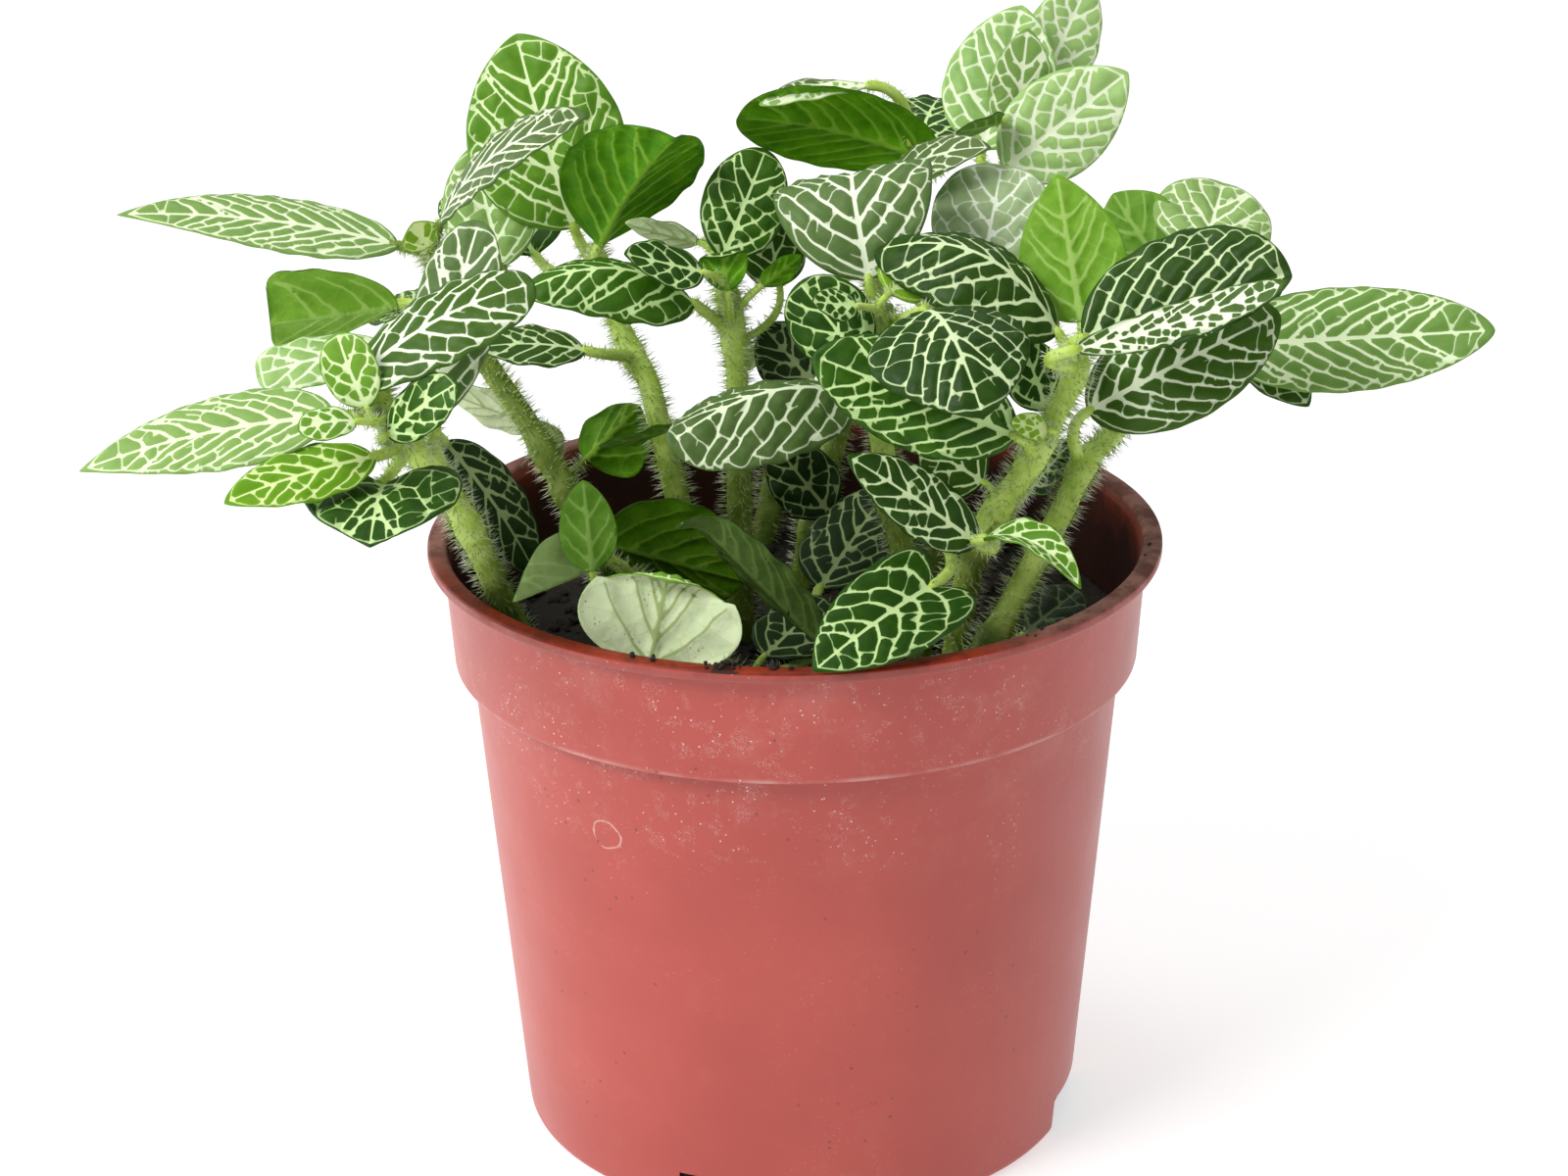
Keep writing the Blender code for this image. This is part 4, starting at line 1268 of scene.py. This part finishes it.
def add_pot():
    """The pot as one turned solid, with notches cut into its foot."""
    step = BAND_FOOT_RADIUS - BODY_TOP_RADIUS
    lip_foot = POT_HEIGHT - LIP_THICKNESS
    taper = (BODY_TOP_RADIUS - BASE_RADIUS) / (BAND_FOOT - 0.5)
    outline = [
        (0, 0.7),
        (BASE_RADIUS - 5, 0.7),
        (BASE_RADIUS - 4, 0),
        (BASE_RADIUS, 0),
        (BASE_RADIUS + 7 * taper, 7),
        (BASE_RADIUS + 30 * taper, 30),
        (BASE_RADIUS + 56 * taper, 56),
        (BODY_TOP_RADIUS, BAND_FOOT - 0.5),
        (BAND_FOOT_RADIUS, BAND_FOOT),
        (BAND_TOP_RADIUS, lip_foot),
        (LIP_RADIUS, lip_foot),
        (LIP_RADIUS, POT_HEIGHT),
        (LIP_RADIUS - LIP_WIDTH, POT_HEIGHT),
        (BAND_TOP_RADIUS - WALL - 0.2, lip_foot),
        (BAND_FOOT_RADIUS - WALL, BAND_FOOT + WALL),
        (BAND_FOOT_RADIUS - WALL - step, BAND_FOOT - WALL),
        (BASE_RADIUS - WALL + 7 * taper, 7),
        (BASE_RADIUS - WALL, FLOOR + WALL),
        (BASE_RADIUS - 2 * WALL, FLOOR),
        (0, FLOOR),
    ]
    curves = {
        (BASE_RADIUS, 0): (BASE_CORNER, 6),
        (BODY_TOP_RADIUS, BAND_FOOT - 0.5): (0.6, 4),
        (BAND_FOOT_RADIUS, BAND_FOOT): (0.4, 4),
        (BAND_TOP_RADIUS, lip_foot): (0.5, 3),
        (LIP_RADIUS, lip_foot): (0.6, 4),
        (LIP_RADIUS, POT_HEIGHT): (0.7, 4),
        (LIP_RADIUS - LIP_WIDTH, POT_HEIGHT): (0.7, 4),
    }
    profile = rounded(outline, curves)
    points, faces = turned(profile, POT_SIDES)
    pot = add_mesh("nursery_pot", points, faces, [terracotta_plastic(), pot_inside(), soiled_lip()])
    work = bmesh.new()
    work.from_mesh(pot.data)
    bmesh.ops.recalc_face_normals(work, faces=work.faces)
    for face in work.faces:
        centre = face.calc_center_median()
        inward = face.normal.x * centre.x + face.normal.y * centre.y < 0
        floor = face.normal.z > 0.9 and centre.z < 10 * MM
        if centre.z > LIP_FINISH_FROM * MM and (face.normal.z > 0.3 or inward):
            face.material_index = 2
        elif inward or floor:
            face.material_index = 1
    work.to_mesh(pot.data)
    work.free()
    for index in range(NOTCH_COUNT):
        cut_notch(pot, index)
    pot.data.set_sharp_from_angle(angle=math.radians(35))
    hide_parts("pot")


def cut_notch(pot, index):
    """A drain notch where the wall meets the floor."""
    body = bmesh.new()
    bmesh.ops.create_cube(body, size=1.0)
    turn = math.radians(NOTCH_FIRST + index * 360 / NOTCH_COUNT)
    size = Vector((NOTCH_WIDTH, NOTCH_DEPTH, 2 * NOTCH_HEIGHT)) * MM
    place = Matrix.Translation(Vector((math.sin(turn), -math.cos(turn), 0)) * BASE_RADIUS * MM)
    body.transform(place @ Matrix.Rotation(turn, 4, "Z") @ Matrix.Diagonal((*size, 1)))
    # The cut faces take the inside's finish, so its painted shade darkens them as well.
    for face in body.faces:
        face.material_index = 1
    mesh = bpy.data.meshes.new("notch cutter")
    for slot in pot.data.materials:
        mesh.materials.append(slot)
    body.to_mesh(mesh)
    body.free()
    cutter = bpy.data.objects.new("notch cutter", mesh)
    bpy.context.scene.collection.objects.link(cutter)
    cut = pot.modifiers.new("notch", "BOOLEAN")
    cut.solver = "EXACT"
    cut.object = cutter
    with bpy.context.temp_override(object=pot, active_object=pot, selected_objects=[pot]):
        bpy.ops.object.modifier_apply(modifier=cut.name)
    bpy.data.objects.remove(cutter, do_unlink=True)


def soil_level(x, y):
    """Height of the soil's surface, in millimetres."""
    broad = noise.noise(Vector((x * 0.05, y * 0.05, 3.1))) * 1.6
    lumps = noise.fractal(Vector((x * 0.22, y * 0.22, 7.7)), 0.9, 2.1, 4) * 1.1
    return SOIL_TOP + broad + lumps


def add_soil():
    """The root ball: a lumpy top, and plain sides that follow the pot's inside."""
    top_radius = BAND_FOOT_RADIUS - WALL - GAP
    foot_radius = BASE_RADIUS - WALL - GAP
    rings = 90
    around = 288
    points = [(0, 0, soil_level(0, 0))]
    faces = []
    for r in range(1, rings + 1):
        radius = top_radius * (r / rings)
        for k in range(around):
            x, y = on_circle(radius, 2 * math.pi * k / around)
            points.append((x, y, soil_level(x, y)))
    for k in range(around):
        faces.append((0, 1 + k, 1 + (k + 1) % around))
    sides = [
        (top_radius, BAND_FOOT + WALL + GAP),
        (BODY_TOP_RADIUS - WALL - GAP, BAND_FOOT - WALL),
        (foot_radius, FLOOR + 2),
        (foot_radius - 1.4, FLOOR + GAP),
    ]
    for radius, z in sides:
        for k in range(around):
            angle = 2 * math.pi * k / around
            rough = noise.noise(Vector((math.sin(angle) * 14, math.cos(angle) * 14, z))) * 0.3
            points.append((*on_circle(radius - abs(rough), angle), z))
    bands = rings + len(sides) - 1
    for ring in range(bands):
        low = 1 + ring * around
        for k in range(around):
            n = (k + 1) % around
            faces.append((low + k, low + around + k, low + around + n, low + n))
    last = 1 + bands * around
    faces.append(tuple(range(last, last + around)))
    soil = add_mesh("soil_ball", points, faces, [potting_mix()])
    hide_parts("soil")


def lump(centre, size, rng, points, faces):
    """Adds an irregular crumb to points and faces."""
    body = bmesh.new()
    bmesh.ops.create_icosphere(body, subdivisions=1, radius=1.0)
    stretch = Vector((rng.uniform(0.6, 1.3), rng.uniform(0.6, 1.3), rng.uniform(0.45, 0.9))) * size
    turn = Matrix.Rotation(rng.uniform(0, 6.3), 3, "Z")
    turn = turn @ Matrix.Rotation(rng.uniform(-0.7, 0.7), 3, "X")
    offset = len(points)
    for vert in body.verts:
        knobbly = vert.co * (1 + 0.35 * noise.noise(vert.co * 1.7 + centre))
        moved = Vector((knobbly.x * stretch.x, knobbly.y * stretch.y, knobbly.z * stretch.z))
        points.append(centre + turn @ moved)
    for face in body.faces:
        faces.append(tuple(v.index + offset for v in face.verts))
    body.free()


def spots_on_soil(count, low, high, rng):
    """Centres and sizes of grains that lie anywhere on the soil."""
    for _ in range(count):
        radius = STREWN_RADIUS * math.sqrt(rng.random())
        x, y = on_circle(radius, rng.uniform(0, 2 * math.pi))
        size = rng.uniform(low, high)
        yield Vector((x, y, soil_level(x, y) + size * 0.3)), size


def spots_on_lip(rng):
    """Centres and sizes of crumbs that were spilt on the lip, most of them at the front."""
    for degrees, count in LIP_CRUMBS:
        for _ in range(count):
            angle = math.radians(degrees + rng.uniform(-3, 3))
            radius = LIP_RADIUS - LIP_WIDTH * rng.uniform(0.25, 1.0)
            size = rng.uniform(0.2, 0.75)
            yield Vector((*on_circle(radius, angle), POT_HEIGHT + size * 0.35)), size


def spots_in_notches(rng):
    """Centres and sizes of the crumbs that fill the drain notches."""
    for index in range(NOTCH_COUNT):
        for _ in range(CRUMBS_PER_NOTCH):
            angle = math.radians(NOTCH_FIRST + index * 360 / NOTCH_COUNT + rng.uniform(-12, 12))
            radius = BASE_RADIUS - rng.uniform(1.6, 3.0)
            size = rng.uniform(0.9, 1.9)
            yield Vector((*on_circle(radius, angle), rng.uniform(2.2, 7.0))), size


def add_crumbs():
    """Loose soil and perlite; all of it draws from one generator, so its order matters."""
    rng = random.Random("crumbs")
    soil = bpy.data.materials["potting mix"]
    for name, spots, finish in (
        ("soil_crumbs", spots_on_soil(900, 0.5, 1.6, rng), soil),
        ("perlite_grains", spots_on_soil(60, 0.5, 1.3, rng), perlite_white()),
        ("crumbs_on_lip", spots_on_lip(rng), soil),
        ("soil_in_notches", spots_in_notches(rng), soil),
    ):
        points = []
        faces = []
        for centre, size in spots:
            lump(centre, size, rng, points, faces)
        piece = add_mesh(name, points, faces, [finish])


# ---- Studio ----------------------------------------------------------------------------------


def add_area_light(name, place, aim, size, energy):
    """A round softbox at place that shines at aim; size is its width in metres."""
    data = bpy.data.lights.new(name, "AREA")
    data.shape = "DISK"
    data.size = size
    data.energy = energy
    light = bpy.data.objects.new(name, data)
    light.location = place
    light.rotation_euler = (Vector(aim) - Vector(place)).to_track_quat("-Z", "Y").to_euler()
    bpy.context.scene.collection.objects.link(light)


def add_studio():
    """A white floor and sky, and four softboxes."""
    mesh = bpy.data.meshes.new("studio_floor")
    work = bmesh.new()
    bmesh.ops.create_circle(work, cap_ends=True, radius=STUDIO_RADIUS, segments=96)
    work.to_mesh(mesh)
    work.free()
    mesh.materials.append(studio_floor())
    floor = bpy.data.objects.new("studio_floor", mesh)
    bpy.context.scene.collection.objects.link(floor)
    world = bpy.data.worlds.new("studio")
    world.use_nodes = True
    sky = world.node_tree.nodes["Background"]
    sky.inputs["Color"].default_value = (1.0, 1.0, 1.0, 1.0)
    sky.inputs["Strength"].default_value = SKY_STRENGTH
    bpy.context.scene.world = world
    for light in LIGHTS:
        add_area_light(*light)


def add_camera():
    """The camera in front of the pot, looking down at it."""
    data = bpy.data.cameras.new("camera")
    data.lens = CAMERA_LENS
    data.sensor_width = 36.0
    data.clip_start = 0.01
    data.clip_end = 20.0
    camera = bpy.data.objects.new("camera", data)
    place = Matrix.Translation(CAMERA_PLACE)
    turn = Matrix.Rotation(math.radians(CAMERA_TURN), 4, "Z")
    tilt = Matrix.Rotation(math.radians(90 - CAMERA_DOWN), 4, "X")
    roll = Matrix.Rotation(math.radians(CAMERA_ROLL), 4, "Z")
    camera.matrix_world = place @ turn @ tilt @ roll
    bpy.context.scene.collection.objects.link(camera)
    bpy.context.scene.camera = camera


# Without a seed, the noise that makes the veins wander would start from the clock.
noise.seed_set(WANDER_SEED)
add_camera()
add_studio()
add_pot()
add_soil()
add_crumbs()
add_foliage()
bpy.context.scene.view_settings.view_transform = "Standard"
